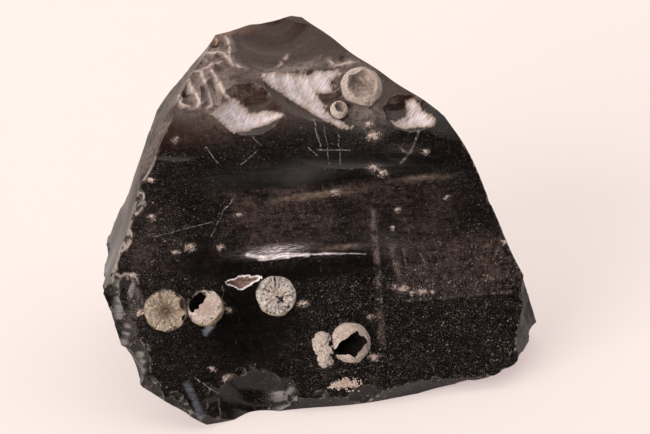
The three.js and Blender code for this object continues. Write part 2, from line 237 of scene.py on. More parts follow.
SCARS = [
    # The smooth scoop that makes the crest thin.
    Scar((-10.4, 31.6, 75), 17, 60, 0, 14.6, 12.6, 3, 0.45),
    # The three bowls with ribbed rims where the front meets the shoulder.
    Scar((-17.6, 14.6, 65.6), 14, 45, 0, 9.6, 9.2, 3.6, 0.24),
    Scar((-0.9, 19.8, 65.3), 8, 52, -27, 13.8, 7.4, 3.6, 0.24),
    Scar((21.4, 22, 61), 24, 47, 10, 6.6, 7, 2.6, 0.24),
    # Small chips left of the crest.
    Scar((-30.6, 22.6, 72.1), 0, 52, 12, 3.8, 5.4, 1.8, 0.3),
    Scar((-28, 29.4, 75.8), -5, 52, 0, 4, 4.6, 1.8, 0.3),
    Scar((-32.6, 15.5, 68), -4, 50, 15, 3.8, 4.6, 1.6, 0.3),
    Scar((-26.9, 16.3, 67.7), 10, 52, -10, 3.4, 6, 1.8, 0.3),
    Scar((-35, 12.5, 66.4), 0, 46, 0, 2.6, 3, 1.1, 0.3),
    # Hollows at the front's lower left edge.
    Scar((-15.5, -28, 5.6), 14, 14, -20, 10, 9.2, 4.4, 0.35),
    Scar((-25, -31.8, 5.6), 20, 26, 12, 3, 6.4, 1.8, 0.3),
    Scar((-4.9, -27, 0.9), 12, -5, 0, 2.6, 3, 1.5, 0.3),
    Scar((-49.6, -20.8, 28.6), -20, 22, 10, 5, 9, 2.2, 0.35),
    Scar((-47.2, -23.5, 23), -25, 10, 0, 4, 5, 1.6, 0.35),
    Scar((-43.2, -27.2, 17.6), -35, 8, 30, 3.5, 5, 1.4, 0.35),
    Scar((-46.4, -27.4, 13.4), -72, -14, 0, 8, 5.6, 3, 0.4),
    Scar((-40.8, -31.6, 10), -30, 5, 0, 4.5, 3.4, 1.3, 0.35),
    Scar((-34, -33.6, 6.4), -10, 0, 0, 5, 3.4, 1.2, 0.35),
    # Right foot, right side, left side and back.
    Scar((53, 1, 15), 84, 8, 0, 6, 9, 1.6),
    Scar((49, 12, 36), 106, 20, 15, 12, 13, 2.4, 0.7),
    Scar((30, 30, 52), 130, 26, -20, 12, 10, 2.6, 0.7),
    Scar((-48, 22, 40), -100, 18, 0, 12, 17, 2.2, 0.7),
    Scar((-12, 47, 52), 178, 8, 0, 20, 17, 3.6, 0.8),
    Scar((26, 45, 28), 158, 12, 25, 17, 14, 3.2, 0.8),
    Scar((-28, 45, 22), -158, 0, -20, 15, 12, 3, 0.8),
    Scar((2, 50, 16), 176, -10, 0, 13, 10, 2.4, 0.8),
]
MOUTH_MARGIN = 1.5
RIPPLE_HEIGHT, RIPPLE_LENGTH = 0.06, 0.55
FINE_RIPPLE_HEIGHT, FINE_RIPPLE_LENGTH = 0.008, 0.16


def bowl_at(scar, x, y):
    share = (x / scar.wide) ** 2 + (y / scar.tall) ** 2
    from_blow = np.hypot(x, y - scar.tall) / scar.tall
    ripple = RIPPLE_HEIGHT * np.sin(TURN * from_blow / RIPPLE_LENGTH)
    wander = 0.4 * np.sin(5 * x / scar.wide + scar.roll)
    fine = FINE_RIPPLE_HEIGHT * np.sin(TURN * from_blow / FINE_RIPPLE_LENGTH + wander)
    return scar.deep * (share - 1 + ripple + fine)


print(len(SCARS), "scars")

# %% [markdown]
# ## Cutting tools
#
# A tool is a thick plate whose underside is the wanted surface. Its mesh is a grid, fine where
# the stone will be and with one wide row of cells around that. Blender's Manifold solver cuts
# with a whole collection of such tools at once, and always leaves a closed mesh.

# %% Cutting tools
SLAB = 180
CREASE = ((0, 13.73, 60.98), 16.3, 46, -9.2)  # where the front meets the shoulder
CREASE_HALF_ANGLE = math.radians(12.2)
CREASE_ROUND = 45


def mesh_object(name, points, faces):
    mesh = bpy.data.meshes.new(name)
    mesh.from_pydata(np.asarray(points).tolist(), [], faces)
    mesh.update()
    return bpy.data.objects.new(name, mesh)


def grid_lines(reach, cell, far=None):
    lines = np.linspace(-reach, reach, int(round(2 * reach / cell)) + 1)
    return lines if far is None else np.concatenate(([-far], lines, [far]))


def plate(place, xs, ys, height):
    """A closed plate in a frame: height(x, y) below and flat above."""
    x, y = np.meshgrid(xs, ys)
    under = np.stack([x, y, height(x, y)], -1).reshape(-1, 3)
    index = np.arange(len(under)).reshape(x.shape)
    cells = np.stack([index[:-1, :-1], index[1:, :-1], index[1:, 1:], index[:-1, 1:]], -1)
    ring = np.concatenate([index[0, :-1], index[:-1, -1], index[-1, :0:-1], index[:0:-1, 0]])
    above = under[ring] * (1, 1, 0) + (0, 0, SLAB)
    low, high = ring, len(under) + np.arange(len(ring))
    sides = np.stack([low, np.roll(low, -1), np.roll(high, -1), high], -1)
    faces = cells.reshape(-1, 4).tolist() + sides.tolist() + [high.tolist()]
    return mesh_object("tool", out_of(place, np.vstack([under, above])), faces)


def slab_tool(face):
    xs = grid_lines(face.reach[0], face.fine, SLAB / 2)
    ys = grid_lines(face.reach[1], face.fine, SLAB / 2)
    return plate(frame_of(*face[:3]), xs, ys, lambda x, y: height_on(face, x, y))


def flake_tool(scar):
    xs = grid_lines(MOUTH_MARGIN * scar.wide, scar.fine)
    ys = grid_lines(MOUTH_MARGIN * scar.tall, scar.fine)
    return plate(frame_of(*scar[:4]), xs, ys, lambda x, y: bowl_at(scar, x, y))


def crease_tool():
    """Rounds the low ridge between the front and the shoulder, which the break left soft."""
    top = CREASE_ROUND * (1 / math.cos(CREASE_HALF_ANGLE) - 1)
    touch = CREASE_ROUND * math.sin(CREASE_HALF_ANGLE)

    def round_over(x, y):
        beyond = np.maximum(0, np.abs(y) - touch)
        near = np.minimum(np.abs(y), touch)
        away = 0.12 * beyond**2 - math.tan(CREASE_HALF_ANGLE) * beyond
        return away - top - near**2 / (2 * CREASE_ROUND) + 0.5 * streaks_at(x, y)

    return plate(frame_of(*CREASE), grid_lines(60, 0.5), grid_lines(15, 0.5), round_over)


def combine(piece, tools, operation="DIFFERENCE"):
    """Cuts the tools from the piece, or joins them to it, and clears them away."""
    shelf = bpy.data.collections.new("tools")
    for tool in tools:
        shelf.objects.link(tool)
    change = piece.modifiers.new("change", "BOOLEAN")
    change.operation, change.solver = operation, "MANIFOLD"
    change.operand_type, change.collection = "COLLECTION", shelf
    result = piece.evaluated_get(bpy.context.evaluated_depsgraph_get())
    piece.data = bpy.data.meshes.new_from_object(result)
    piece.modifiers.clear()
    for tool in tools:
        bpy.data.objects.remove(tool)
    bpy.data.collections.remove(shelf)
    return piece


def put_in_scene(piece):
    bpy.context.scene.collection.objects.link(piece)
    return piece


def points_of(mesh):
    points = np.empty(3 * len(mesh.vertices))
    mesh.vertices.foreach_get("co", points)
    return points.reshape(-1, 3)


def normals_of(mesh):
    normals = np.empty(3 * len(mesh.vertices))
    mesh.vertex_normals.foreach_get("vector", normals)
    return normals.reshape(-1, 3)


BLOCK = 150
corners = [(x, y, z) for z in (0, BLOCK) for y in (-1, 1) for x in (-1, 1)]
corners = [(x * BLOCK / 2, y * BLOCK / 2, z) for x, y, z in corners]
box_faces = [(0, 2, 3, 1), (4, 5, 7, 6), (0, 1, 5, 4), (1, 3, 7, 5), (3, 2, 6, 7), (2, 0, 4, 6)]
glass = put_in_scene(mesh_object("broken_glass", corners, box_faces))
combine(glass, [slab_tool(face) for face in FACES] + [crease_tool()])
combine(glass, [flake_tool(scar) for scar in SCARS])
print("broken block:", len(glass.data.vertices), "vertices")

# %% [markdown]
# ## Bumpy balls
#
# The snowflakes, their sockets and the small chips along the edges all start as a ball with
# bumps. Sines of the direction make the bumps, so the same ball can be grown a little and cut
# its own socket.

# %% Bumpy balls
SEAM = 0.04
BUMPS = (4, 6, 9)

Ball = namedtuple("Ball", "at radius rough stretch", defaults=(0.0, (1, 1, 1)))


def ball_tool(ball, place, margin=0.0, detail=4, grain=0.0):
    """A bumpy ball in a frame. grain adds finer bumps than the CAD solid's."""
    made = bmesh.new()
    bmesh.ops.create_icosphere(made, subdivisions=detail, radius=1)
    mesh = bpy.data.meshes.new("ball")
    made.to_mesh(mesh)
    made.free()
    way = points_of(mesh)
    x, y, z = way.T
    bump = 0
    for k, n in enumerate(BUMPS):
        bump = bump + np.sin(n * x + ball.at[0] + k) * np.sin(n * y + ball.at[1]) * np.cos(n * z)
    for k, n in enumerate((17, 29, 47)):
        fine = np.sin(n * x + 3 * y + k) * np.sin(n * y + 2 * z + ball.at[0]) * np.cos(n * z + x)
        bump = bump + grain / (ball.rough + 0.001) * fine / (1 + 0.5 * k)
    size = np.outer(ball.radius + (ball.rough + 0.001) * bump, ball.stretch) + margin
    mesh.vertices.foreach_set("co", out_of(place, way * size + ball.at).ravel())
    mesh.update()
    return bpy.data.objects.new("ball", mesh)


test = ball_tool(Ball((0, 0, 0), 5, 0.1), Matrix.Identity(4))
print("a ball has", len(test.data.vertices), "vertices")
bpy.data.objects.remove(test)

# %% [markdown]
# ## Where the snowflakes grew
#
# A place is a point and two angles, or a point on a large face, where it follows the glass. A
# snowflake is one or more balls. Its face is what the break left of it: a slightly dished,
# fluted surface. A mouth is the jagged opening of a hollow one, with a cave behind it.

# %% The snowflakes
Fan = namedtuple("Fan", "lift slope dish fibres relief")
Snowflake = namedtuple(
    "Snowflake", "name slot place balls fan bites mouth", defaults=(None, (), ())
)


def on_face(face, across, up):
    out = float(height_on(face, float(across), float(up)))
    return frame_of(*face[:3]) @ Matrix.Translation((across, up, out))


SNOWFLAKES = [
    Snowflake(
        "snowflake_left",
        "snowflake_tan",
        on_face(FRONT, -37.9, -9.4),
        [Ball((0, 0, -1.5), 5.3, 0.1)],
        Fan(0.1, (0, 0), 0.6, 13, 0.12),
        [Ball((5.6, 1.1, 0.5), 2.3, 0.06), Ball((-2.2, 5.1, 0.3), 1, 0.2)],
    ),
    Snowflake(
        "snowflake_left_hollow",
        "snowflake_cream",
        on_face(FRONT, -28.2, -10),
        [Ball((0, 0, 0), 4.5, 0.06)],
        Fan(1.6, (0.38, -0.34), 0.2, 9, 0.06),
        [Ball((-1.1, 1.3, -2.4), 2.9, 0.2)],
        [(-3.8, -0.5), (-3.95, 0.8), (-3.4, 2.2), (-2.4, 3.3), (-1, 4), (0.5, 4), (0.8, 3.1),
         (0, 2.1), (-0.4, 1.3), (-1.4, 1), (-1.7, 0.3), (-2.6, 0), (-3.1, -0.7)],
    ),
    Snowflake(
        "snowflake_middle",
        "snowflake_cream",
        on_face(FRONT, -10.1, -9),
        [Ball((0, 0, -0.6), 5, 0.14)],
        Fan(1.2, (0.1, -0.14), 0.5, 14, 0.26),
        [
            Ball((3.6, 3.7, 1.6), 1.3, 0.15),
            Ball((0.6, 5, 1.4), 1.1, 0.15),
            Ball((0.7, -1, 1.5), 1.2, 0.35),
        ],
    ),
    Snowflake(
        "snowflake_right_hollow",
        "snowflake_cream",
        on_face(FRONT, 6.6, -22.9),
        [
            Ball((0, 0, 0.2), 5, 0.12),
            Ball((-6.9, 1.3, 0), 2.3, 0.25),
            Ball((-7.5, -0.3, -0.2), 1.9, 0.2),
            Ball((-6.3, -0.9, 0), 2, 0.25),
            Ball((-6.9, -2.5, -0.1), 1.8, 0.2),
            Ball((-5.9, -3.6, -0.3), 1.3, 0.15),
            Ball((-7.2, -4, -0.2), 1.2, 0.15),
        ],
        None,
        [
            Ball((-0.1, -0.5, 1.3), 3.5, 0.2, (1.15, 0.95, 1)),
            Ball((5.3, 1.7, 3), 1.7, 0.3),
            Ball((4.7, -3, 3), 1.4, 0.3),
        ],
        [(-4.6, -1.2), (-3.2, 0.4), (-1.6, 1), (-0.2, 2), (1.4, 2.5), (1.9, 1.3), (3.1, 0.7),
         (4.1, -0.6), (2.3, -1.3), (1.3, -2.3), (0.3, -4), (-1.4, -2.9), (-2.9, -2.8), (-4.4, -2.2)],
    ),
    Snowflake(
        "snowflake_low_crust",
        "snowflake_cream",
        on_face(FRONT, 4.2, -32.4),
        [
            Ball((-2.4, 0.2, -0.4), 1.3, 0.2, (1.5, 1, 0.8)),
            Ball((0.2, -0.1, -0.4), 1.4, 0.25, (1.3, 1, 0.8)),
            Ball((2.6, 0.3, -0.4), 1.4, 0.25, (1.3, 1.1, 0.8)),
        ],
    ),
    Snowflake(
        "snowflake_top_cup",
        "snowflake_grey",
        frame_of((10.6, 24.6, 65.5), 12, 50),
        [Ball((0, 0, -0.8), 5.4, 0.12)],
        None,
        [Ball((-0.4, -0.7, 4.3), 4.1, 0.25), Ball((-2.2, 4.4, 5.6), 3.4, 0.3)],
    ),
    Snowflake(
        "snowflake_top_small",
        "snowflake_grey",
        frame_of((4.8, 17.6, 62.2), 8, 48),
        [Ball((0, 0, 0), 2.2, 0.08)],
        None,
        [Ball((0.2, 0.1, 1.7), 1.5, 0.12)],
    ),
    Snowflake(
        "snowflake_right_side",
        "snowflake_cream",
        on_face(RIGHT, 14, -16),
        [Ball((0, 0, -1.2), 4.6, 0.06)],
        Fan(0.3, (0.05, -0.05), 0.4, 10, 0.08),
    ),
    Snowflake(
        "snowflake_back",
        "snowflake_cream",
        on_face(BACK, 4, -4),
        [Ball((0, 0, -0.8), 5, 0.08)],
        Fan(0.6, (-0.08, 0.1), 0.4, 10, 0.1),
    ),
]
print(len(SNOWFLAKES), "snowflakes")

# %% [markdown]
# ## Sockets, a bubble and a hole
#
# A snowflake sits in a socket of the glass with a hair's gap round it. Only the grains of the
# low crust lie on the glass. The front also has a flat bubble that broke open, and the shoulder
# a small round hole.

# %% Cut the sockets
BUBBLE = [(-22.2, -4.3), (-18.3, -6.3), (-13.2, -3.9), (-17.7, -3.1)]
BUBBLE_MIDDLE, BUBBLE_DEEP = (-17.8, -4.4, 1.0), 1.2
HOLE = Ball((3.4, 23.6, 66.2), 1.3, 0.04)
CRUST = "snowflake_low_crust"
LARGE = 4  # balls of a larger radius get a finer mesh


def jagged(corners, step, depth, rng):
    """The outline of a polygon with small teeth."""
    ends = np.roll(corners, -1, 0)
    ring = []
    for start, end in zip(np.array(corners, float), ends):
        count = max(2, int(round(np.linalg.norm(end - start) / step)))
        for t in np.arange(count) / count:
            ring.append(start + (end - start) * t + rng.normal(0, depth, 2))
    return np.array(ring)


def prism(place, ring, low, high, spread=0.0):
    """A closed column over an outline. It opens outwards by spread, so its walls slope."""
    middle = ring.mean(0)
    wider = middle + (ring - middle) * (1 + spread)
    below, above = np.full(len(ring), low), np.full(len(ring), high)
    points = np.vstack([np.c_[ring, below], np.c_[wider, above]])
    index = np.arange(len(ring))
    after = np.roll(index, -1)
    sides = np.stack([index, after, after + len(ring), index + len(ring)], -1)
    bottom = [(b, a, 2 * len(ring)) for a, b in zip(index.tolist(), after.tolist())]
    points = np.vstack([points, [(*middle, low)]])
    faces = sides.tolist() + bottom + [(index + len(ring)).tolist()]
    if np.cross(ring, np.roll(ring, -1, 0)).sum() < 0:
        faces = [face[::-1] for face in faces]
    return mesh_object("column", out_of(place, points), faces)


rng = np.random.default_rng(7)
sockets = []
for flake in SNOWFLAKES:
    if flake.name == CRUST:
        continue  # its grains lie on the glass
    for ball in flake.balls:
        sockets.append(ball_tool(ball, flake.place, SEAM, 5 if ball.radius > LARGE else 4))
bubble_floor = float(height_on(FRONT, *map(float, BUBBLE[1]))) - BUBBLE_DEEP
bubble_ring = jagged(BUBBLE, 0.4, 0.16, rng)
sockets.append(prism(front, bubble_ring, bubble_floor, bubble_floor + 3 * BUBBLE_DEEP, 0.12))
sockets.append(ball_tool(HOLE, Matrix.Identity(4), 0, 4, 0.03))
combine(glass, sockets)
print("with sockets:", len(glass.data.vertices), "vertices")

# %% [markdown]
# ## Chipped edges
#
# Glass edges are never clean: they lose small flakes. Placing each by hand would take long, so
# the edges are found in the mesh, by the angle between neighbouring faces, and random points on
# them are bitten by bumpy balls. A seeded generator makes the same chips on every run.

# %% Chip the edges
SHARP = math.radians(32)
CHIPS = 230
CLEAR_OF_FLAKES, CLEAR_OF_PITS, CLEAR_OF_SHOULDER = 2.5, 7, 7
CHIPPED_FROM, CHIPPED_TO = 1.5, 70  # heights between which the edges are chipped
FAR_AWAY = 99.0


def convex_edges(mesh, least):
    """Where faces meet outwards at more than an angle: middles, ends and outward directions."""
    made = bmesh.new()
    made.from_mesh(mesh)
    middles, ends, ways, lengths = [], [], [], []
    for edge in made.edges:
        if len(edge.link_faces) == 2 and edge.calc_face_angle_signed(0) > least:
            a, b = (corner.co for corner in edge.verts)
            middles.append((a + b) / 2)
            ends.append((a, b))
            ways.append((edge.link_faces[0].normal + edge.link_faces[1].normal).normalized())
            lengths.append((a - b).length)
    made.free()
    return np.array(middles), np.array(ends), np.array(ways), np.array(lengths)


def distance_to_flakes(points):
    nearest = np.full(len(points), FAR_AWAY)
    for flake in SNOWFLAKES:
        for ball in flake.balls:
            centre = np.array(flake.place @ Vector(ball.at))
            nearest = np.minimum(nearest, np.linalg.norm(points - centre, axis=1) - ball.radius)
    return nearest


middles, _, ways, lengths = convex_edges(glass.data, SHARP)
pits = [out_of(front, np.array([BUBBLE_MIDDLE]))[0], np.array(HOLE.at)]
from_pits = np.min([np.linalg.norm(middles - pit, axis=1) for pit in pits], axis=0)
free = (distance_to_flakes(middles) > CLEAR_OF_FLAKES) & (from_pits > CLEAR_OF_PITS)
free &= np.abs(into(shoulder, middles)[:, 2]) > CLEAR_OF_SHOULDER
free &= (middles[:, 2] > CHIPPED_FROM) & (middles[:, 2] < CHIPPED_TO)
middles, ways, lengths = middles[free], ways[free], lengths[free]
spots = rng.choice(len(middles), CHIPS, replace=False, p=lengths / lengths.sum())
chips = []
for spot in spots:
    radius = 1.2 + 6 * rng.random() ** 3
    bite = rng.uniform(0.08, 0.2) + 0.05 * radius * rng.random()
    way = ways[spot] + rng.normal(0, 0.35, 3)
    centre = middles[spot] + way / np.linalg.norm(way) * (radius - bite)
    stretch = tuple(rng.uniform(0.75, 1.25, 3))
    bumpy = Ball(tuple(centre), radius, 0.05 * radius, stretch)
    chips.append(ball_tool(bumpy, Matrix.Identity(4), 0, 4, 0.012 * radius))
combine(glass, chips)
print("with chips:", len(glass.data.vertices), "vertices")

# %% [markdown]
# ## Ribs and ridges where the bowls broke out
#
# Where a crack runs out at the rim of a bowl it tears the glass into fine ribs, called
# hackles, which scatter light and look white. Low ridges run between the small chips. Both are
# drawn as outlines on the shoulder, across and up in millimetres: the ridges move the mesh's
# points, and the ribs are left to the material, which gets the distance to their outline.

# %% Hackles and ridges
HACKLES = [
    [(-25, -4), (-23, -6.5), (-20.5, -10), (-18.3, -9.8), (-14, -9), (-9.7, -8.4), (-5.8, -8.3),
     (-7.7, -5.7), (-10.5, -4.1), (-14, -3.8), (-14.6, -1.9), (-16.3, 0.2), (-18.4, 0.6)],
    [(-9.1, 3.2), (-6.2, 0.8), (-2.6, -2.3), (1.1, -6.1), (3.1, -10.5), (6.5, -13.4),
     (8.9, -14.3), (11.4, -13.4), (9.1, -13.4), (7.1, -10.5), (5.6, -7.3), (5.1, -5.9),
     (6.2, -5.5), (5.4, -3.8), (4.4, -1.6), (6.9, -2.5), (8.5, -2.4), (8.6, -0.2), (11.7, 1.8),
     (11.3, 3), (7.8, 3), (5.6, 3.3), (2.9, 3.2), (-0.3, 4.6), (-5.3, 5.6), (-8.8, 5.6)],
    [(20.4, -13), (21.3, -15.4), (23, -16.3), (26.7, -16.5), (31, -17.7), (32.3, -15.7),
     (30.9, -13.2), (29.5, -9.7), (28.8, -7.5), (26.5, -7.8), (26.3, -10.1), (25.4, -12.1),
     (21.9, -13.1)],
]
Ridge = namedtuple("Ridge", "line thick high", defaults=(0.75, 0.5))
RIDGES = [
    Ridge([(-21, 15.3), (-18.9, 14.7), (-16.5, 13.6)], 1, 0.6),
    Ridge([(-16.4, 13.4), (-15.6, 11.9), (-15.1, 9.7), (-13, 8.2)]),
    Ridge([(-15.5, 12.2), (-14.1, 15.8), (-14.6, 18.9)]),
    Ridge([(-21.3, 8.7), (-20.5, 6.1), (-20, 3.5), (-19.5, 1), (-18.5, 0.8)]),
    Ridge([(-23.3, 10), (-23.6, 5.3), (-23, 2.8), (-23.4, -0.5), (-25.1, -2.2)]),
    Ridge([(-27.4, 8), (-27.4, 5.8), (-26.7, 3.5), (-26.4, 1.3), (-27.4, -1.3), (-25.1, 0.4)]),
    Ridge([(-21.9, 10.4), (-20.2, 10.5), (-17.7, 11.1)]),
    Ridge([(-25.7, 10.4), (-23.7, 10.1), (-22.1, 10.5)]),
    Ridge([(-30.6, 5), (-30.9, 0.9), (-29.3, -0.5)]),
    Ridge([(9.7, 5.8), (10.5, 3.8), (13.4, 4.5), (16.6, 4.8)], 0.8, 0.6),
    Ridge([(-3.6, 7.6), (0.2, 11)], 0.4, 0.1),
]
PITS = [(-17.4, 17.6), (-19.2, 8.9), (-28.9, 4.1), (13.3, 6.4)]
PIT_DEEP, PIT_SQUARE = 0.7, 0.8
REACH_FROM_SHOULDER = 6.5  # points this near to the shoulder's plane take the marks
REACH_FROM_FRONT = 5
FACING = 0.35  # and point this much its way
NO_MARK = 9.0  # what is stored where no mark is near


def distance_to_line(points, line):
    nearest = np.full(len(points), FAR_AWAY)
    for start, end in zip(line, line[1:]):
        run = np.subtract(end, start)
        t = np.clip((points - start) @ run / (run @ run), 0, 1)
        nearest = np.minimum(nearest, np.linalg.norm(points - start - t[:, None] * run, axis=1))
    return nearest


def wobble(points, size, seed):
    """Smooth noise between about -1 and 1: a few sines that run in random directions."""
    luck = np.random.default_rng(seed)
    total = np.zeros(len(points))
    for _ in range(8):
        way = luck.normal(0, 1, points.shape[1])
        length = size * luck.uniform(0.6, 1.6) * np.linalg.norm(way)
        total += np.sin(TURN * points @ way / length + luck.uniform(0, TURN))
    return total / 4


def depth_inside(points, corners):
    """The distance to a polygon's outline, above 0 inside it."""
    inside = np.zeros(len(points), bool)
    x, y = points.T
    for (ax, ay), (bx, by) in zip(corners, corners[1:] + corners[:1]):
        if ay != by:
            inside ^= ((ay > y) != (by > y)) & (x < ax + (y - ay) * (bx - ax) / (by - ay))
    return np.where(inside, 1, -1) * distance_to_line(points, corners + corners[:1])


points = points_of(glass.data)
on_shoulder = into(shoulder, points)
flat = on_shoulder[:, :2]
facing = normals_of(glass.data) @ np.array(shoulder.to_3x3().col[2])
near = (np.abs(on_shoulder[:, 2]) < REACH_FROM_SHOULDER) & (facing > FACING)
ridge = np.full(len(points), NO_MARK)
lift = np.zeros(len(points))
wavy = flat + np.stack([wobble(flat, 3.1, 1), wobble(flat, 2.6, 2)], -1) * 0.16
for each in RIDGES:
    from_ends = [np.linalg.norm(flat - end, axis=1) for end in (each.line[0], each.line[-1])]
    taper = 0.6 + 0.4 * smooth(0, 1.5, np.min(from_ends, axis=0))
    thick = each.thick * taper * (1 + 0.2 * wobble(flat, 2.2, 3))
    away = distance_to_line(wavy, each.line) / thick
    ridge = np.where(near, np.minimum(ridge, away * 0.5), ridge)
    lift = np.maximum(lift, each.high * np.exp(-(away**2)))
for pit in PITS:
    lift -= PIT_DEEP * np.exp(-(np.linalg.norm(flat - pit, axis=1) ** 2) / PIT_SQUARE)
points += np.outer(np.where(near, lift, 0), shoulder.to_3x3().col[2])
glass.data.vertices.foreach_set("co", points.ravel())
glass.data.update()
hackle = np.full(len(points), -NO_MARK)
for corners in HACKLES:
    hackle = np.maximum(hackle, depth_inside(flat, corners))
hackle = np.where(near, hackle, -NO_MARK)
on_front = into(front, points)
rim_line = [tuple(corner) for corner in bubble_ring.tolist()]
bubble = depth_inside(on_front[:, :2], rim_line)
bubble = np.where(np.abs(on_front[:, 2]) < REACH_FROM_FRONT, bubble, -NO_MARK)
print(int((hackle > 0).sum()), "points on hackles,", int((ridge < 0.5).sum()), "on ridges")

# %% [markdown]
# ## What the material needs to know
#
# Dust and wear gather on edges, and some edges get a painted highlight; thin glass lets a brown
# light through, and a cave is painted dark as shade. A material can't measure these well, so
# they are measured here at every point of the mesh and stored with it: the distance to the
# nearest edge, the thickness of the glass below, and how open a snowflake is there. The film on
# the two side faces is stored too.

# %% Measure edges, thickness and openness
EDGE = math.radians(27)
NO_GLASS = 20  # thickness is measured up to this
LOOKS, OPEN_BEYOND = 18, 12  # directions that each point looks in, and how far


def store(piece, name, values):
    layer = piece.data.attributes.new(name, "FLOAT", "POINT")
    layer.data.foreach_set("value", np.asarray(values, np.float32))


def edge_distance(piece, least):
    middles, ends, _, _ = convex_edges(piece.data, least)
    marks = np.vstack([middles, ends.reshape(-1, 3)])
    tree = KDTree(len(marks))
    for i, mark in enumerate(marks):
        tree.insert(mark, i)
    tree.balance()
    return np.array([tree.find(point)[2] for point in points_of(piece.data)])


def tree_of(mesh):
    return BVHTree.FromPolygons(points_of(mesh).tolist(), [face.vertices for face in mesh.polygons])


def thickness(piece):
    tree = tree_of(piece.data)
    found = []
    for point, normal in zip(points_of(piece.data), normals_of(piece.data)):
        hit = tree.ray_cast(Vector(point - normal * 0.01), Vector(-normal), NO_GLASS)
        found.append(NO_GLASS if hit[3] is None else hit[3])
    return np.array(found)


def openness(piece):
    """The share of directions in which each point sees out: low in caves and cracks."""
    tree = tree_of(piece.data)
    luck = np.random.default_rng(3)
    ways = luck.normal(0, 1, (LOOKS, 3))
    ways /= np.linalg.norm(ways, axis=1)[:, None]
    found = []
    for point, normal in zip(points_of(piece.data), normals_of(piece.data)):
        seen = [way for way in ways if way @ normal > 0.15]
        start = Vector(point + normal * 0.03)
        free = sum(tree.ray_cast(start, Vector(way), OPEN_BEYOND)[0] is None for way in seen)
        found.append(free / max(1, len(seen)))
    return np.array(found)


def filmed_sides(piece):
    """1 high on the left side and on the right foot, where a pale film dulls the glass."""
    ways = [frame_of(*face[:3]).to_3x3().col[2] for face in (LEFT, LEFT_HIGH, RIGHT_FOOT)]
    turned = [normals_of(piece.data) @ np.array(way) for way in ways]
    x, _, z = points_of(piece.data).T
    left, right = smooth(20, 55, z) * smooth(-30, -34, x), smooth(26, 46, x)
    return smooth(0.7, 0.98, np.max(turned, axis=0)) * (left + right)


store(glass, "rim", edge_distance(glass, EDGE))
store(glass, "deep", thickness(glass))
store(glass, "hackle", hackle)
store(glass, "ridge", ridge)
store(glass, "bubble", bubble)
store(glass, "side", filmed_sides(glass))
print("stored:", [layer.name for layer in glass.data.attributes if layer.data_type == "FLOAT"])

# %% [markdown]
# ## The snowflakes' meshes
#
# Each is made as the CAD solid is: a bumpy ball, less the plug that broke off with its fluted
# face. The flutes could be one cosine, but real fibres are uneven, so finer and finer ones are
# added, each with its own phase, and small bites fray the face's edge. The low crust is a heap
# of tiny grains instead.

# %% Make the snowflakes
FAN_RINGS, FAN_TURNS = 48, 240
RIM_BITES = 46
GRAINS = 560
CAVE_DEEP, MOUTH_HIGH, MOUTH_SPREAD = -2.2, 8, 0.05
FLAKE_EDGE = math.radians(35)


def fan_tool(fan, radius, place, seed):
    """What is missing above a snowflake's face: a round plug with a fluted underside."""
    luck = np.random.default_rng(seed)
    ring = np.linspace(0, 1.3 * radius, FAN_RINGS)[1:]
    turn = np.linspace(0, TURN, FAN_TURNS, endpoint=False)
    r, a = np.meshgrid(ring, turn, indexing="ij")
    outward = np.minimum(1, r / radius)
    flute = np.cos(fan.fibres * a)
    for n in (19, 27, 38, 53, 74):
        phase, sway = luck.uniform(0, TURN, 2)
        wave = np.sin(n * a + phase + np.sin(r + sway))
        flute = flute + 11 / n * smooth(0.1, 0.6, outward) * wave
    steps = 0.35 * np.sin(TURN * r / 1.3 + 2 * np.sin(3 * a)) + 0.3 * np.sin(5 * a + 2.2 * r)
    x, y = r * np.cos(a), r * np.sin(a)
    z = fan.lift + fan.slope[0] * x + fan.slope[1] * y + fan.dish * (outward**2 - 1)
    z = z + fan.relief * (outward * flute + steps)
    under = np.stack([x, y, z], -1).reshape(-1, 3)
    middle = (0, 0, fan.lift - fan.dish)
    top = under[-len(turn):] * (1, 1, 0) + (0, 0, 3 * radius)
    index = 1 + np.arange(len(under)).reshape(r.shape)
    after = np.roll(index, -1, 1)
    cells = np.stack([index[:-1], after[:-1], after[1:], index[1:]], -1).reshape(-1, 4)
    high = 1 + len(under) + np.arange(len(turn))
    sides = np.stack([index[-1], after[-1], np.roll(high, -1), high], -1)
    centre = [(0, b, a) for a, b in zip(index[0].tolist(), after[0].tolist())]
    faces = centre + cells.tolist() + sides.tolist() + [high.tolist()]
    return mesh_object("fan", out_of(place, np.vstack([[middle], under, top])), faces)


def rim_bites(flake, seed):
    """Small bites round the edge of a snowflake's face, where fibres broke away."""
    luck = np.random.default_rng(seed)
    ball, fan = flake.balls[0], flake.fan
    bites = []
    for turn in luck.uniform(0, TURN, RIM_BITES):
        way = np.array([math.cos(turn), math.sin(turn)])
        high = fan.lift + 0.9 * ball.radius * (way @ fan.slope)
        reach = math.sqrt(ball.radius**2 - (high - ball.at[2]) ** 2) + 0.15
        size = 0.35 + 0.75 * luck.random() ** 2
        bites.append(Ball((*(reach * way), high), size, 0.2 * size))
    return bites


def crust_grains(seed):
    """A line of small grains, thicker in the middle, with a few strays."""
    luck = np.random.default_rng(seed)
    grains = []
    for _ in range(GRAINS):
        along = luck.beta(2.6, 1.7) * 2 - 1
        wide = 0.35 + 0.5 * smooth(-0.6, 0.4, along)
        x, y = 4.6 * along - 0.6, luck.normal(-0.15 + 0.5 * along, wide)
        radius = 0.09 + 0.2 * luck.random() ** 2
        grains.append(Ball((x, y, 0.3 * radius - 0.1), radius, 0.15 * radius, (1.2, 1, 0.8)))
    return grains


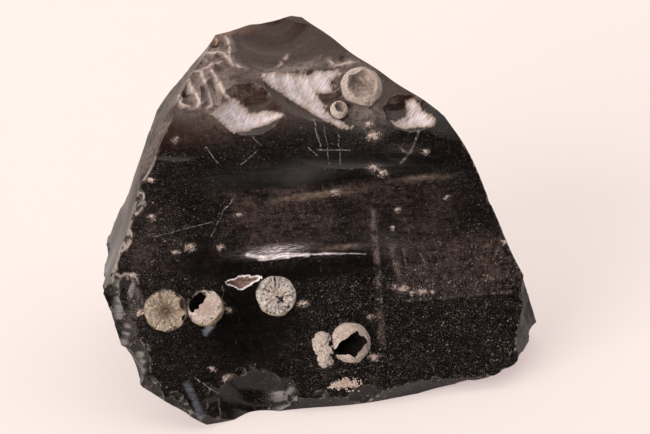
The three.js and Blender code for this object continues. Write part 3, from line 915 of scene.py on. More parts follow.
def make_snowflake(flake, seed):
    if flake.name == CRUST:
        balls = [ball_tool(ball, flake.place, 0, 2, 0.05 * ball.radius) for ball in crust_grains(seed)]
    else:
        grain = 0.03 if flake.fan else 0.07
        detail = [6 if ball.radius > LARGE else 5 for ball in flake.balls]
        balls = [ball_tool(ball, flake.place, 0, n, grain) for ball, n in zip(flake.balls, detail)]
    piece = put_in_scene(balls[0])
    if balls[1:]:
        combine(piece, balls[1:], "UNION")
    tools = [ball_tool(bite, flake.place, 0, 5, 0.06) for bite in flake.bites]
    if flake.fan:
        tools.append(fan_tool(flake.fan, flake.balls[0].radius, flake.place, seed))
        tools += [ball_tool(bite, flake.place, 0, 3, 0.02) for bite in rim_bites(flake, seed)]
    if flake.mouth:
        ring = jagged(flake.mouth, 0.45, 0.1, np.random.default_rng(seed))
        tools.append(prism(flake.place, ring, CAVE_DEEP, MOUTH_HIGH, MOUTH_SPREAD))
    if tools:
        combine(piece, tools)
    piece.name = flake.name.replace("snowflake", "crystal")
    return piece


flakes = [make_snowflake(flake, 20 + k) for k, flake in enumerate(SNOWFLAKES)]
for flake, piece in zip(SNOWFLAKES, flakes):
    store(piece, "open", openness(piece))
    store(piece, "rim", edge_distance(piece, FLAKE_EDGE))
    ball = flake.balls[0]
    from_middle = points_of(piece.data) - np.array(flake.place @ Vector(ball.at))
    store(piece, "skin", np.linalg.norm(from_middle, axis=1) / ball.radius)
    print(piece.name, len(piece.data.vertices), "vertices")

# %% [markdown]
# ## Shader sums that read as sums
#
# A material is a graph of nodes, and writing one link by link hides the idea. A Wire wraps a
# socket, so 1 - mask * 0.4 builds the two nodes it needs. Paint holds one material's graph
# and makes any other node in one call: its kind, its settings, and then its inputs.

# %% A small shader kit
class Wire:
    """A socket that takes part in sums."""

    def __init__(self, paint, socket):
        self.paint, self.socket = paint, socket

    def math(self, operation, *values):
        return self.paint.node("Math", {"operation": operation}, enumerate(values))

    def __add__(self, other):
        return self.math("ADD", self, other)

    def __sub__(self, other):
        return self.math("SUBTRACT", self, other)

    def __rsub__(self, other):
        return self.math("SUBTRACT", other, self)

    def __mul__(self, other):
        return self.math("MULTIPLY", self, other)

    def __truediv__(self, other):
        return self.math("DIVIDE", self, other)

    def __pow__(self, other):
        return self.math("POWER", self, other)

    def __or__(self, other):
        """The larger of two masks."""
        return self.math("MAXIMUM", self, other)

    __radd__, __rmul__ = __add__, __mul__


class Paint:
    """One material's nodes, round its principled shader."""

    def __init__(self, name):
        self.material = bpy.data.materials.new(name)
        self.material.use_nodes = True
        self.tree = self.material.node_tree
        self.shader = self.tree.nodes["Principled BSDF"]

    def put(self, value, socket):
        if isinstance(value, Wire):
            self.tree.links.new(value.socket, socket)
        else:
            socket.default_value = value

    def node(self, kind, settings=(), inputs=(), output=0):
        node = self.tree.nodes.new("ShaderNode" + kind)
        for name, value in dict(settings).items():
            setattr(node, name, value)
        for name, value in dict(inputs).items():
            self.put(value, node.inputs[name])
        return Wire(self, node.outputs[output])

    def set(self, **values):
        """Sets the shader's sockets: base_color=... for Base Color."""
        for name, value in values.items():
            title = {"ior": "IOR"}.get(name, name.replace("_", " ").title())
            self.put(value, self.shader.inputs[title])

    def vector(self, operation, *values, output=0):
        return self.node("VectorMath", {"operation": operation}, enumerate(values), output)

    def join(self, x, y, z):
        return self.node("CombineXYZ", (), {"X": x, "Y": y, "Z": z})

    def stored(self, name):
        return self.node("Attribute", {"attribute_name": name}, (), "Fac")

    def step(self, low, high, value):
        """0 below low, 1 above high, and a soft step between. High may be the smaller one."""
        ends = {"Value": value, "From Min": low, "From Max": high}
        return self.node("MapRange", {"interpolation_type": "SMOOTHSTEP"}, ends)

    def stone(self):
        """The place in the stone, in millimetres, where it was broken."""
        place = self.node("TexCoord", (), (), "Object")
        large = self.vector("SCALE", place)
        large.socket.node.inputs["Scale"].default_value = 1 / MM
        return self.vector("ADD", large, (*FOOTPRINT_MIDDLE, 0))

    def seen_from(self, matrix, place):
        """The same place in a frame's x, y and z."""
        moved = self.vector("SUBTRACT", place, matrix.translation[:])
        axes = [matrix.to_3x3().col[k][:] for k in range(3)]
        return [self.vector("DOT_PRODUCT", moved, axis, output="Value") for axis in axes]

    def noise(self, place, size, detail=3.0, rough=0.55):
        """Noise about 0.5, with features of about a size, or a size along each axis."""
        sizes = size if isinstance(size, tuple) else (size,) * 3
        scaled = self.vector("MULTIPLY", place, tuple(1 / each for each in sizes))
        inputs = {"Vector": scaled, "Scale": 1.0, "Detail": detail, "Roughness": rough}
        return self.node("TexNoise", (), inputs)

    def specks(self, place, size, share):
        """Round specks in cells of a size: 1 at the middle of some of them."""
        scaled = self.vector("SCALE", place)
        scaled.socket.node.inputs["Scale"].default_value = 1 / size
        cell = self.node("TexVoronoi", (), {"Vector": scaled, "Scale": 1.0})
        color = Wire(self, cell.socket.node.outputs["Color"])
        chance = self.node("SeparateColor", (), {"Color": color})
        radius = self.step(1 - share, 1.05, chance) * 0.5
        return self.step(radius, radius * 0.4, cell) * self.step(1 - share, 1.01 - share, chance)

    def mix(self, share, first, second):
        """One colour into another."""
        node = self.tree.nodes.new("ShaderNodeMix")
        node.data_type = "RGBA"
        for value, number in zip((share, first, second), (0, 6, 7)):
            color = isinstance(value, tuple)
            self.put((*value, 1) if color else value, node.inputs[number])
        return Wire(self, node.outputs[2])

    def bump(self, height, distance, strength=1.0):
        inputs = {"Height": height, "Distance": distance * MM, "Strength": strength}
        return self.node("Bump", (), inputs)


print("shader kit ready")

# %% [markdown]
# ## Marks that have a place
#
# Scratches, bands of dust, and the glint along a step, which is a painted highlight, lie where
# they lie. A picture painted by hand could hold them, but a line on the front, with a width and
# a strength, stays sharp however near the camera comes. Crumbs of pale crust are spots with a width.

# %% Marks on the front
Scratch = namedtuple("Scratch", "start end wide strength")
SCRATCHES = [
    Scratch((5.6, 34.2), (5.9, 26), 0.22, 0.5),
    Scratch((7.9, 32), (7.5, 22), 0.18, 0.4),
    Scratch((11, 30), (10.5, 22), 0.2, 0.4),
    Scratch((5.3, 26.1), (13.5, 25.2), 0.25, 0.35),
    Scratch((-17, 16.9), (-20.4, 13.6), 0.22, 0.5),
    Scratch((-20.4, 13.6), (-24.5, 7.4), 0.18, 0.4),
    Scratch((-38.5, 9), (-23.7, 11), 0.16, 0.3),
    Scratch((-22.8, 29.8), (-20.3, 25.5), 0.18, 0.4),
    Scratch((-14.6, 24.6), (-10.7, 27.2), 0.2, 0.4),
    Scratch((-10.7, 31.1), (-9, 28.8), 0.25, 0.35),
    Scratch((-23.3, -4.8), (-23.5, -9.7), 0.15, 0.35),
    Scratch((2.8, 27.1), (5.1, 24.6), 0.2, 0.4),
    Scratch((-32.9, -26.6), (-28, -30.9), 0.2, 0.6),
    Scratch((23.7, -1), (23.9, -6), 0.2, 0.3),
    Scratch((28, -2.5), (28.9, -6.5), 0.2, 0.4),
]
DUST_BANDS = [
    Scratch((32.3, 28.4), (29.5, 23.6), 0.5, 1.0),
    Scratch((29.5, 23.6), (25.8, 20.1), 0.55, 1.0),
    Scratch((26, 25), (28.2, 23), 0.45, 0.9),
    Scratch((17.1, 9), (15.9, -8.9), 1.5, 0.8),
    Scratch((15.9, -8.9), (14.7, -24.4), 1.6, 0.5),
    Scratch((21, -0.4), (21.6, -8.9), 1.6, 0.7),
    Scratch((18.4, -10), (29, -13), 1.4, 0.6),
    Scratch((22, -14.2), (50, -15.2), 0.8, 0.5),
]
# The glint: a painted highlight where the front's highest step turns to the light.
GLINT = [
    Scratch((-16, 1.9), (-13, 0.9), 0.8, 0.8),
    Scratch((-13, 0.9), (-6, 0.6), 1.1, 1.0),
    Scratch((-6, 0.6), (-1, 0.1), 0.7, 0.9),
    Scratch((-1, 0.1), (6, -0.4), 0.32, 0.7),
    Scratch((6, -0.4), (13.6, -1.3), 0.25, 0.45),
]
# Painted bluish highlights: below the left hollow snowflake and on the rounded lobe at the lower left.
BLUE_GLINTS = [
    Scratch((-27.9, -16.8), (-25.9, -15), 1.1, 1.0),
    Scratch((-34, -29), (-31.6, -37), 1.3, 0.4),
]
PALE_LENSES = [((8.4, 0.9), (4.6, 0.6)), ((31, 16.2), (5.5, 0.7)), ((4, 14.8), (9, 0.8))]
CRUMBS = [  # spots of pale crust: where, how wide
    ((20.3, 28.5), 2.3), ((19.4, 31.5), 1.5), ((24, -12.6), 1.1), ((29.5, -12.8), 1), ((19.8, -10.4), 1),
    ((-30, 5.5), 1.6), ((-30, 32.5), 1), ((-37.7, 23), 1.4), ((-38.4, 13.9), 1.3),
    ((-33.6, 4.6), 1.2), ((36.8, 10.6), 0.9), ((23.7, 9), 1), ((21.7, 4.6), 0.8),
    ((49.8, -2.4), 1), ((-3.8, -11.6), 1.6), ((-24.8, -27.4), 1.6), ((-28.5, -24.9), 1.2),
    ((18.7, 20.1), 1.8), ((21, 18.4), 1.7), ((-17, 12), 1), ((-22.5, 4.6), 1.2), ((8, 15), 1.5),
    ((-25, -9.5), 1.8), ((-22.5, -11), 1.3), ((13, -17), 1.2), ((12, -27), 1.8), ((0.5, -27.5), 1),
    ((22, -11), 1.6), ((27, -12.5), 1.4), ((-45, 0), 1.5), ((-44, -9), 1.4), ((33, 23), 1),
]
CRUMB_FLATNESS = 0.7


def near_line(paint, x, y, scratch):
    """1 on a straight line, softly down to 0 at its width."""
    run = np.subtract(scratch.end, scratch.start)
    square = float(run @ run)
    dx, dy = x - float(scratch.start[0]), y - float(scratch.start[1])
    along = (dx * float(run[0]) + dy * float(run[1])) / square
    along = paint.node("Clamp", (), {"Value": along})
    away_x, away_y = dx - along * float(run[0]), dy - along * float(run[1])
    away = (away_x * away_x + away_y * away_y) ** 0.5
    return paint.step(scratch.wide, 0.2 * scratch.wide, away) * scratch.strength


def near_lines(paint, x, y, group):
    found = near_line(paint, x, y, group[0])
    for scratch in group[1:]:
        found = found | near_line(paint, x, y, scratch)
    return found


def blob(paint, x, y, middle, reach):
    dx, dy = (x - middle[0]) / reach[0], (y - middle[1]) / reach[1]
    return paint.node("Math", {"operation": "EXPONENT"}, {0: (dx * dx + dy * dy) * -1.0})


def blobs(paint, x, y, group):
    found = blob(paint, x, y, *group[0])
    for middle, reach in group[1:]:
        found = found | blob(paint, x, y, middle, reach)
    return found


def dashes(paint, x, y, degrees, long, wide, least):
    """Thin marks that all run one way."""
    c, n = math.cos(math.radians(degrees)), math.sin(math.radians(degrees))
    turned = paint.join(x * c + y * n, y * c - x * n, degrees)
    return paint.step(least, least + 0.05, paint.noise(turned, (long, wide, 1), 2, 0.5))


print(len(SCRATCHES), "scratches,", len(DUST_BANDS), "bands of dust and", len(CRUMBS), "crumbs")

# %% [markdown]
# ## Places and noises that the marks share
#
# Each mark could have noises of its own, but wear of one kind comes with wear of another. So
# all of them read the same few noises, from a grain of 0.2 mm to clouds of 9 mm, and break up
# together.

# %% The glass's surface
class Surface:
    """Where a point lies on the glass, and the noises that its marks share."""

    def __init__(self, paint):
        place = paint.stone()
        self.place = place
        self.x, self.y, z = paint.seen_from(front, place)
        self.sx, self.sy, self.sz = paint.seen_from(shoulder, place)
        self.flat = paint.join(self.x, self.y, z)
        self.front = paint.step(-3.5, -2, z) * paint.step(5, 3, z)
        self.top = paint.step(-9, -6, self.sz) * paint.step(-14, -6, self.sy)
        self.top = self.top * paint.step(24.5, 25.5, self.y)
        self.grain = paint.noise(place, 0.2, 2, 0.7)
        self.fine = paint.noise(place, 0.35, 4)
        self.patchy = paint.noise(place, 2.2, 4)
        self.clouds = paint.noise(place, 9, 5, 0.6)
        self.streaks = paint.noise(self.flat, (5, 0.9, 3), 9, 0.8)
        self.mottle = paint.step(0.4, 0.62, self.streaks) * 0.4
        mottle = paint.step(0.42, 0.64, paint.noise(place, 1.3, 8, 0.8)) * 0.6
        self.mottle = self.mottle + mottle
        self.bend = (self.clouds - 0.5) * 6
        self.wavy_x = self.x + (self.patchy - 0.5) * 1.6
        self.wavy_y = self.y + (self.patchy - 0.5) * 1.2


obsidian = Paint("obsidian")
on_glass = Surface(obsidian)
print("shared places and noises:", len(obsidian.tree.nodes), "nodes")

# %% [markdown]
# ## Film and dust
#
# A thin brown film lies over the front, thicker between the step and the glint and over the
# right side. On it lie grains of dust, from single ones to crusts. They could be real grains,
# but thousands of them would only be as large as one pixel, so they are cells in the colour.

# %% Film and dust
def add_film(paint, on):
    x, y, bend = on.x, on.y, on.bend
    middle = paint.step(18.6, 16.6, y + x * 0.05 + bend * 0.2) * paint.step(-0.5, 3.5, y)
    middle = middle * paint.step(-28, -18, x + bend) * paint.step(46, 30, x + bend)
    on.right = paint.step(-15, -13.8, y) * paint.step(4, -2, y + bend)
    on.right = on.right * paint.step(16, 22, x + bend * 0.4)
    on.corner = blob(paint, x, y, (-40, 10), (9, 16)) | blob(paint, x, y, (-47, -8), (5, 9))
    on.bands = near_lines(paint, on.wavy_x, on.wavy_y, DUST_BANDS) * on.front
    on.bands = on.bands * (0.3 + paint.step(0.35, 0.6, on.patchy))
    patches = (middle * 0.85 | on.right | on.corner * 0.55) * on.front
    on.cover = 0.1 + (patches | on.top * 0.3 | on.bands * 1.2)
    on.film = on.cover * (0.05 + on.mottle * 1.15)
    on.film = on.film * (0.25 + paint.step(0.35, 0.65, on.clouds) * 0.85)


def crowding(paint, on):
    """How close together the grains of dust lie."""
    x, y, bend = on.x, on.y, on.bend
    low = paint.step(-2, -12, y + bend * 0.5) * paint.step(-12, 2, x + bend) * on.front
    clear = blob(paint, x, y, (-17, -15), (9, 7)) | blob(paint, x, y, (8, 21), (24, 3))
    clear = clear | blob(paint, x, y, (-24, 1), (7, 3)) | blob(paint, x, y, (1, -4), (16, 1.6))
    by_place = (on.corner * 0.35 + on.right * 0.25 - clear * 0.7) * on.front
    crowd = 0.27 + low * 0.36 + by_place + on.bands * 0.6 - on.top * 0.2
    return crowd * (0.35 + paint.step(0.38, 0.62, paint.noise(on.place, 1.7, 5, 0.7)) * 1.1)


def add_dust(paint, on):
    crowd = crowding(paint, on)
    powder = paint.step(0.57, 0.76, on.grain) * crowd * 1.1
    shaken = paint.vector("ADD", on.place, paint.join(on.fine, on.grain * 1.6, on.fine))
    grains = paint.specks(shaken, 0.5, crowd * 0.42) * (0.5 + crowd * 0.6)
    larger = paint.specks(shaken, 1.5, 0.02 + crowd * 0.08)
    larger = larger * paint.step(0.35, 0.6, on.clouds) * 0.8
    ragged = paint.noise(on.flat, (0.9, 0.7, 0.9), 6, 0.85)
    torn_x = on.wavy_x + (on.fine - 0.5) * 3.5
    torn_y = on.wavy_y + (ragged - 0.5) * 3.5
    spots = [(middle, (wide, CRUMB_FLATNESS * wide)) for middle, wide in CRUMBS]
    crumbs = blobs(paint, torn_x, torn_y, spots) * on.front
    on.thick = paint.step(0.55, 0.7, ragged + crumbs * 0.25 - 0.06)
    on.thick = on.thick * paint.step(0.15, 0.45, crumbs)
    powder = powder | crumbs * paint.step(0.5, 0.7, on.grain) * 0.5
    on.specks = powder | grains | larger


add_film(obsidian, on_glass)
add_dust(obsidian, on_glass)
print("with film and dust:", len(obsidian.tree.nodes), "nodes")

# %% [markdown]
# ## Scratches, worn edges and the burst bubble
#
# Edges are bruised here and there, and smoky where the glass is thin. The mesh's stored
# measures say where: "rim" is the distance to the nearest edge, "deep" the thickness and
# "bubble" the distance to the rim of the bubble that broke open.

# %% Wear
def add_marks(paint, on):
    lens = blobs(paint, on.wavy_x, on.wavy_y, PALE_LENSES) * on.front
    on.lens = lens * (0.2 + on.mottle * 0.8)
    lines = near_lines(paint, on.wavy_x, on.y, SCRATCHES) * on.front
    on.lines = lines * paint.step(0.42, 0.6, on.fine)
    marks = dashes(paint, on.x, on.y, 88, 2.6, 0.2, 0.7)
    marks = marks | dashes(paint, on.x, on.y, 35, 1.6, 0.25, 0.72)
    marks = marks | dashes(paint, on.x, on.y, 130, 1.3, 0.3, 0.73)
    on.marks = marks * paint.step(0.42, 0.6, on.patchy) * (0.3 + on.cover * 0.6)


def add_wear(paint, on):
    rim = paint.stored("rim")
    on.side = paint.stored("side")
    # Along the front's upper left edge the edge wear is stronger, and a pale band painted beside the
    # edge is a painted highlight.
    upper_left = paint.step(-33, -38, on.x) * paint.step(-4, 4, on.y) * on.front
    upper_left = upper_left * paint.step(0.4, 0.56, on.patchy)
    wear = paint.step(0.46, 0.7, on.patchy) * 0.8 | upper_left * 0.8
    on.edge = paint.step(0.3, 0.02, rim + (on.fine - 0.5) * 1.1) * wear
    on.crusty = upper_left * paint.step(0.6, 0.15, rim + (on.fine - 0.5) * 0.5)
    smoky = blob(paint, on.sx, on.sy, (-13, 15), (8, 6))
    on.thin = paint.step(6, 0.8, paint.stored("deep")) * smoky * paint.step(7, 1, rim) * 0.8


def add_bubble(paint, on):
    inside = paint.stored("bubble")
    lipped = inside + (on.grain - 0.5) * 1.1
    on.burst = paint.step(-0.3, -0.14, lipped) * paint.step(0.14, 0.02, lipped)
    on.burst = on.burst * (0.6 + on.fine * 0.8)
    on.lining = paint.step(0.05, 0.2, inside)


add_marks(obsidian, on_glass)
add_wear(obsidian, on_glass)
add_bubble(obsidian, on_glass)
print("with scratches and wear:", len(obsidian.tree.nodes), "nodes")

# %% [markdown]
# ## Torn glass and the glint
#
# Hackles are ribs that all slant one way, so their noise is squeezed along one axis. The ribs
# are pale, and their brightest parts, some of them cool, are painted glints. Ridges are painted
# pale, lighter along their tops as a painted highlight, with a web of fine pale lines between
# them that is painted light on fine crests. The glint is a painted highlight: a feathered line
# where the front's highest step turns to the light.

# %% Hackles, ridges and glint
def add_hackles(paint, on):
    slant = paint.join(on.sx * 0.75 + on.sy * 0.66, on.sy * 0.75 - on.sx * 0.66, 0)
    tooth = (paint.noise(slant, (2.2, 0.6, 1), 4, 0.65) - 0.5) * 2.2
    on.hackle = paint.stored("hackle") + tooth
    on.ribs = paint.noise(slant, (2.4, 0.18, 1), 4, 0.7)
    on.core = paint.step(0.35, 0.6, paint.noise(slant, (3.6, 1.6, 1), 3))
    # Painted glints: the brightest ribs, stronger where the core noise is high.
    rib_glints = paint.step(0.36, 0.56, on.ribs) * (0.55 + on.core * 0.45)
    on.torn = paint.step(-0.2, 0.5, on.hackle)
    on.torn = on.torn * (0.14 + paint.step(0, 1.8, on.hackle) * 0.22 + rib_glints * 0.66)


def add_ridges(paint, on):
    on.ridge = paint.stored("ridge") + (on.fine - 0.5) * 0.4
    # The ridges are painted pale, lightest along their tops as a painted highlight.
    crest = paint.step(1.4, 0.1, on.ridge) * 0.6 + paint.step(0.4, 0.0, on.ridge) * 0.4
    crest = crest * (0.45 + on.patchy)
    crest = crest * paint.step(0.34, 0.5, paint.noise(on.place, 1.7, 4, 0.7))
    sx, sy = on.sx, on.sy
    tangle = blob(paint, sx, sy, (-22, 4), (8, 10)) | blob(paint, sx, sy, (15, -10), (4.5, 4))
    tangle = tangle | blob(paint, sx, sy, (16, -0.5), (8, 6)) * 0.75
    tangle = (tangle | blob(paint, sx, sy, (-1, 5.5), (11, 2)) * 0.9) * paint.step(-8, -6, on.sz)
    # Painted highlights: a web of fine pale lines, the light on fine crests.
    uneven = paint.noise(on.place, (3.2, 3.2, 5), 4, 0.65) - 0.5
    highlight_web = paint.node("Math", {"operation": "ABSOLUTE"}, {0: uneven})
    highlight_web = (paint.step(0.12, 0.0, highlight_web) * 0.45 + on.mottle * 0.45) * (0.5 + on.fine * 0.8)
    on.crest = crest | tangle * highlight_web


def add_glint(paint, on):
    feather = paint.noise(paint.join(on.x + on.y * 1.5, on.y, 0), (2.6, 0.3, 1), 6, 0.75)
    feather = paint.step(0.4, 0.62, feather)
    # Painted highlight: the glint is white colour along the step, feathered at its top.
    glint = near_lines(paint, on.x, on.y + (on.streaks - 0.5) * 1.6, GLINT)
    glow = blob(paint, on.x, on.y, (-9, 2.1), (6, 1.1)) * feather * on.grain * 1.3
    on.glint = (glint * (0.25 + feather * 0.75) | glow) * on.front
    # Painted highlights: short bluish streaks of glint, broken up by streaks and grain.
    blue = near_lines(paint, on.wavy_x + on.fine * 2, on.wavy_y - on.fine * 2, BLUE_GLINTS)
    flecks = paint.step(0.35, 0.6, on.streaks) * 0.5 + paint.step(0.45, 0.6, on.grain) * 0.4
    on.blue = blue * on.front * (0.15 + flecks)


add_hackles(obsidian, on_glass)
add_ridges(obsidian, on_glass)
add_glint(obsidian, on_glass)
print("with hackles, ridges and glint:", len(obsidian.tree.nodes), "nodes")

# %% [markdown]
# ## Black glass, worn and dusty
#
# The glass itself is nearly black: what shows is mostly its mirror image of the room. Over it
# the masks are laid one after another, from the film that lies lowest to the white ribs and
# the glint. Some of them are painted highlights: the glint, the bluish streaks, the ribs'
# glints, the ridges' tops and a pale band along the upper left edge. Each has a colour of its own.

# %% Put the glass together
BLACK, DARK = (0.001, 0.0008, 0.0008), (0.0028, 0.0022, 0.002)
BROWN_TOP = (0.022, 0.007, 0.003)
FILM = (0.082, 0.059, 0.053)
SIDE_FILM = (0.22, 0.182, 0.165)
DUST, PALE_DUST = (0.34, 0.28, 0.26), (0.8, 0.68, 0.64)
TAN, BLUE_GLINT = (0.4, 0.3, 0.24), (0.4, 0.46, 0.56)
CRUMB, PALE_EDGE_HIGHLIGHT = (0.62, 0.51, 0.46), (0.62, 0.54, 0.49)
SMOKE = (0.27, 0.16, 0.105)
RIDGE_SIDE, RIDGE_TOP_HIGHLIGHT = (0.32, 0.26, 0.24), (0.58, 0.51, 0.48)
LINING_DARK, LINING_PALE = (0.02, 0.014, 0.012), (0.4, 0.28, 0.23)
RIB, COOL_RIB_GLINT, WARM_RIB = (0.77, 0.67, 0.64), (0.66, 0.66, 0.76), (0.62, 0.51, 0.44)
FROST, GLINT_WHITE = (0.93, 0.9, 0.98), (0.97, 0.92, 0.97)
GLASS_IOR = 1.38
GLASS_RELIEF = 0.06  # how high the bump's heights stand, in mm


def glass_color(paint, on):
    grain, fine = on.grain, on.fine
    color = paint.mix(on.clouds, BLACK, DARK)
    color = paint.mix(on.top * 0.7, color, BROWN_TOP)
    color = paint.mix(on.film * 0.6, color, FILM)
    side = on.side * (0.1 + on.mottle * 0.5) * paint.step(0.3, 0.6, on.clouds)
    color = paint.mix(side, color, SIDE_FILM)
    color = paint.mix(on.bands * on.bands * paint.step(0.35, 0.75, grain) * 0.7, color, DUST)
    color = paint.mix(on.lens * 0.5, color, TAN)
    # Painted bluish highlight.
    color = paint.mix(on.blue * 0.5, color, BLUE_GLINT)
    speck = paint.mix(paint.step(0.4, 0.7, fine), DUST, PALE_DUST)
    color = paint.mix(on.specks * 0.9, color, speck)
    color = paint.mix(on.marks * 0.75, color, DUST)
    color = paint.mix(on.thick * 0.9, color, CRUMB)
    color = paint.mix(on.lines * 0.55, color, FROST)
    color = paint.mix(on.thin, color, SMOKE)
    color = paint.mix(on.edge * 0.45, color, DUST)
    # Painted highlight along the front's upper left edge.
    color = paint.mix(on.crusty * 0.45, color, PALE_EDGE_HIGHLIGHT)
    # The ridges' pale colour, with a painted highlight along their tops.
    pale = paint.mix(paint.step(0.5, 0.0, on.ridge) * fine * 1.4, RIDGE_SIDE, RIDGE_TOP_HIGHLIGHT)
    color = paint.mix(on.crest * 0.85, color, pale)
    crumbly = paint.mix(paint.step(0.42, 0.62, grain), LINING_DARK, LINING_PALE)
    color = paint.mix(on.lining, color, crumbly)
    # Pale ribs with painted glints: where core and rib meet, the white turns cool.
    tint = paint.mix(on.core * on.ribs * 1.5, RIB, COOL_RIB_GLINT)
    tint = paint.mix(paint.step(1.4, 0.3, on.hackle) * 0.8, tint, WARM_RIB)
    color = paint.mix(on.torn, color, tint)
    # Painted highlight: the glint in white; the burst bubble's rim shares this white.
    return paint.mix(on.glint | on.burst * 0.95, color, GLINT_WHITE)


def finish_glass(paint, on):
    roughness = 0.18 + on.mottle * 0.12 + on.edge * 0.3 + on.torn * 0.3
    roughness = roughness + on.crest * 0.25 + on.specks * 0.3 + on.side * 0.25
    flow = blob(paint, on.x, on.y, (-2, 21), (26, 4)) * on.streaks * 4
    height = on.fine * 0.3 + on.ribs * on.torn * 3 + on.specks * 0.8 + on.thick * 2.5
    height = height + on.mottle * 0.2 + flow + on.side * (on.patchy * 9 + on.clouds * 14)
    relief = paint.bump(height, GLASS_RELIEF)
    paint.set(base_color=glass_color(paint, on), roughness=roughness, ior=GLASS_IOR, normal=relief)


finish_glass(obsidian, on_glass)
print("the whole glass:", len(obsidian.tree.nodes), "nodes")

# %% [markdown]
# ## Crystal balls
#
# A snowflake is a ball of needles that all start at its middle, so its broken face shows
# fibres like a wheel's spokes. Noise over the direction from the middle draws them with no
# seam. A hollow ball, or a heap of grains, shows crumbs and pits instead. Both get painted
# shade where the stored "open" says that little light gets in, and a painted highlight along
# their sharp edges.

# %% The snowflakes' materials
Tone = namedtuple("Tone", "middle body rim pit skin gaps")
TONES = {
    "snowflake_left": Tone(
        middle=(0.13, 0.075, 0.045),
        body=(0.5, 0.39, 0.3),
        rim=(0.84, 0.72, 0.59),
        pit=(0.1, 0.06, 0.035),
        skin=(0.42, 0.32, 0.17),
        gaps=0.75,
    ),
    "snowflake_cream": Tone(
        middle=(0.8, 0.64, 0.56),
        body=(1, 0.89, 0.82),
        rim=(1, 0.97, 0.94),
        pit=(0.24, 0.15, 0.11),
        skin=(0.85, 0.7, 0.52),
        gaps=0.85,
    ),
    "snowflake_left_hollow": Tone(
        middle=(0.7, 0.56, 0.5),
        body=(0.84, 0.69, 0.62),
        rim=(1, 0.9, 0.84),
        pit=(0.16, 0.1, 0.07),
        skin=(0.42, 0.32, 0.16),
        gaps=0.35,
    ),
    "snowflake_low_crust": Tone(
        middle=(0.6, 0.38, 0.26),
        body=(0.76, 0.5, 0.35),
        rim=(1, 0.86, 0.78),
        pit=(0.12, 0.07, 0.05),
        skin=(0.5, 0.3, 0.2),
        gaps=0,
    ),
    "snowflake_right_hollow": Tone(
        middle=(0.56, 0.43, 0.36),
        body=(0.78, 0.62, 0.54),
        rim=(1, 0.9, 0.83),
        pit=(0.26, 0.18, 0.14),
        skin=(0.4, 0.3, 0.25),
        gaps=0,
    ),
    "snowflake_grey": Tone(
        middle=(0.44, 0.34, 0.3),
        body=(0.68, 0.55, 0.49),
        rim=(1, 0.88, 0.81),
        pit=(0.3, 0.23, 0.2),
        skin=(0.55, 0.44, 0.39),
        gaps=0,
    ),
}
CAVE_SHADE = (0.012, 0.009, 0.008)
CRYSTAL_ROUGHNESS, CRYSTAL_IOR, CRYSTAL_RELIEF = 0.66, 1.45, 0.34


class Crystal:
    """Where a point lies in a snowflake, and the noises that its marks share."""

    def __init__(self, paint, flake):
        place = paint.stone()
        self.x, y, _ = paint.seen_from(flake.place, place)
        self.lumps = paint.noise(place, 0.9, 4)
        self.grain = paint.noise(place, 0.28, 3, 0.7)
        self.clods = paint.noise(place, 1.9, 6, 0.75)
        off_x = self.x + (self.clods - 0.5) * 2.4
        off_y = y + (self.lumps - 0.5) * 1.6
        flat = (off_x * off_x + off_y * off_y) ** 0.5
        self.share = flat / flake.balls[0].radius
        way = paint.vector("NORMALIZE", paint.join(off_x, off_y, 0.001))
        spread = paint.vector("MULTIPLY", way, (6.5,) * 3)
        self.spoke = paint.vector("ADD", spread, paint.join(0, 0, flat * 0.7))
        self.fibres = paint.noise(self.spoke, 0.6, 4, 0.7)


def broken_face(paint, on, tone, color):
    """Cracks between petals, dips between needles, and skin on the outside of the ball."""
    petals = paint.noise(on.spoke, 1.6, 3, 0.6)
    needles = paint.noise(on.spoke, 0.25, 3, 0.7)
    color = paint.mix(paint.step(0.48, 0.36, on.clods) * 0.3, color, tone.skin)
    between = paint.node("Math", {"operation": "ABSOLUTE"}, {0: petals - 0.5})
    dips = paint.step(0.045, 0.005, between) * paint.step(0.1, 0.4, on.share)
    dips = dips * paint.step(0.3, 0.55, on.clods)
    dips = dips | paint.step(0.42, 0.36, needles) * paint.step(0.45, 0.9, on.share) * 0.8
    pale = paint.step(0.45, 0.58, on.fibres) * paint.step(0.0, 0.7, on.share)
    color = paint.mix(pale * 0.75, color, tone.rim)
    color = paint.mix(dips * tone.gaps, color, tone.pit)
    outside = paint.step(0.965, 0.98, paint.stored("skin"))
    color = paint.mix(outside * paint.step(0.3, 0.5, on.lumps), color, tone.skin)
    return color, on.grain * 1.2 + on.fibres * 3 + needles * 1.5 - dips * 2


def crumbly_ball(paint, on, tone, color):
    """A ball with no broken face: darker skin in places, pits and pale crumbs."""
    skin = paint.step(0.52, 0.4, on.clods) * 0.6 | paint.step(-4, -5, on.x) * 0.35
    color = paint.mix(skin, color, tone.skin)
    color = paint.mix(paint.step(0.48, 0.62, on.lumps) * 0.6, color, tone.rim)
    color = paint.mix(paint.step(0.5, 0.38, on.grain) * 0.8, color, tone.pit)
    color = paint.mix(paint.step(0.56, 0.68, on.grain) * 0.7, color, tone.rim)
    return color, on.grain * 4 + on.lumps * 4 + on.clods * 4


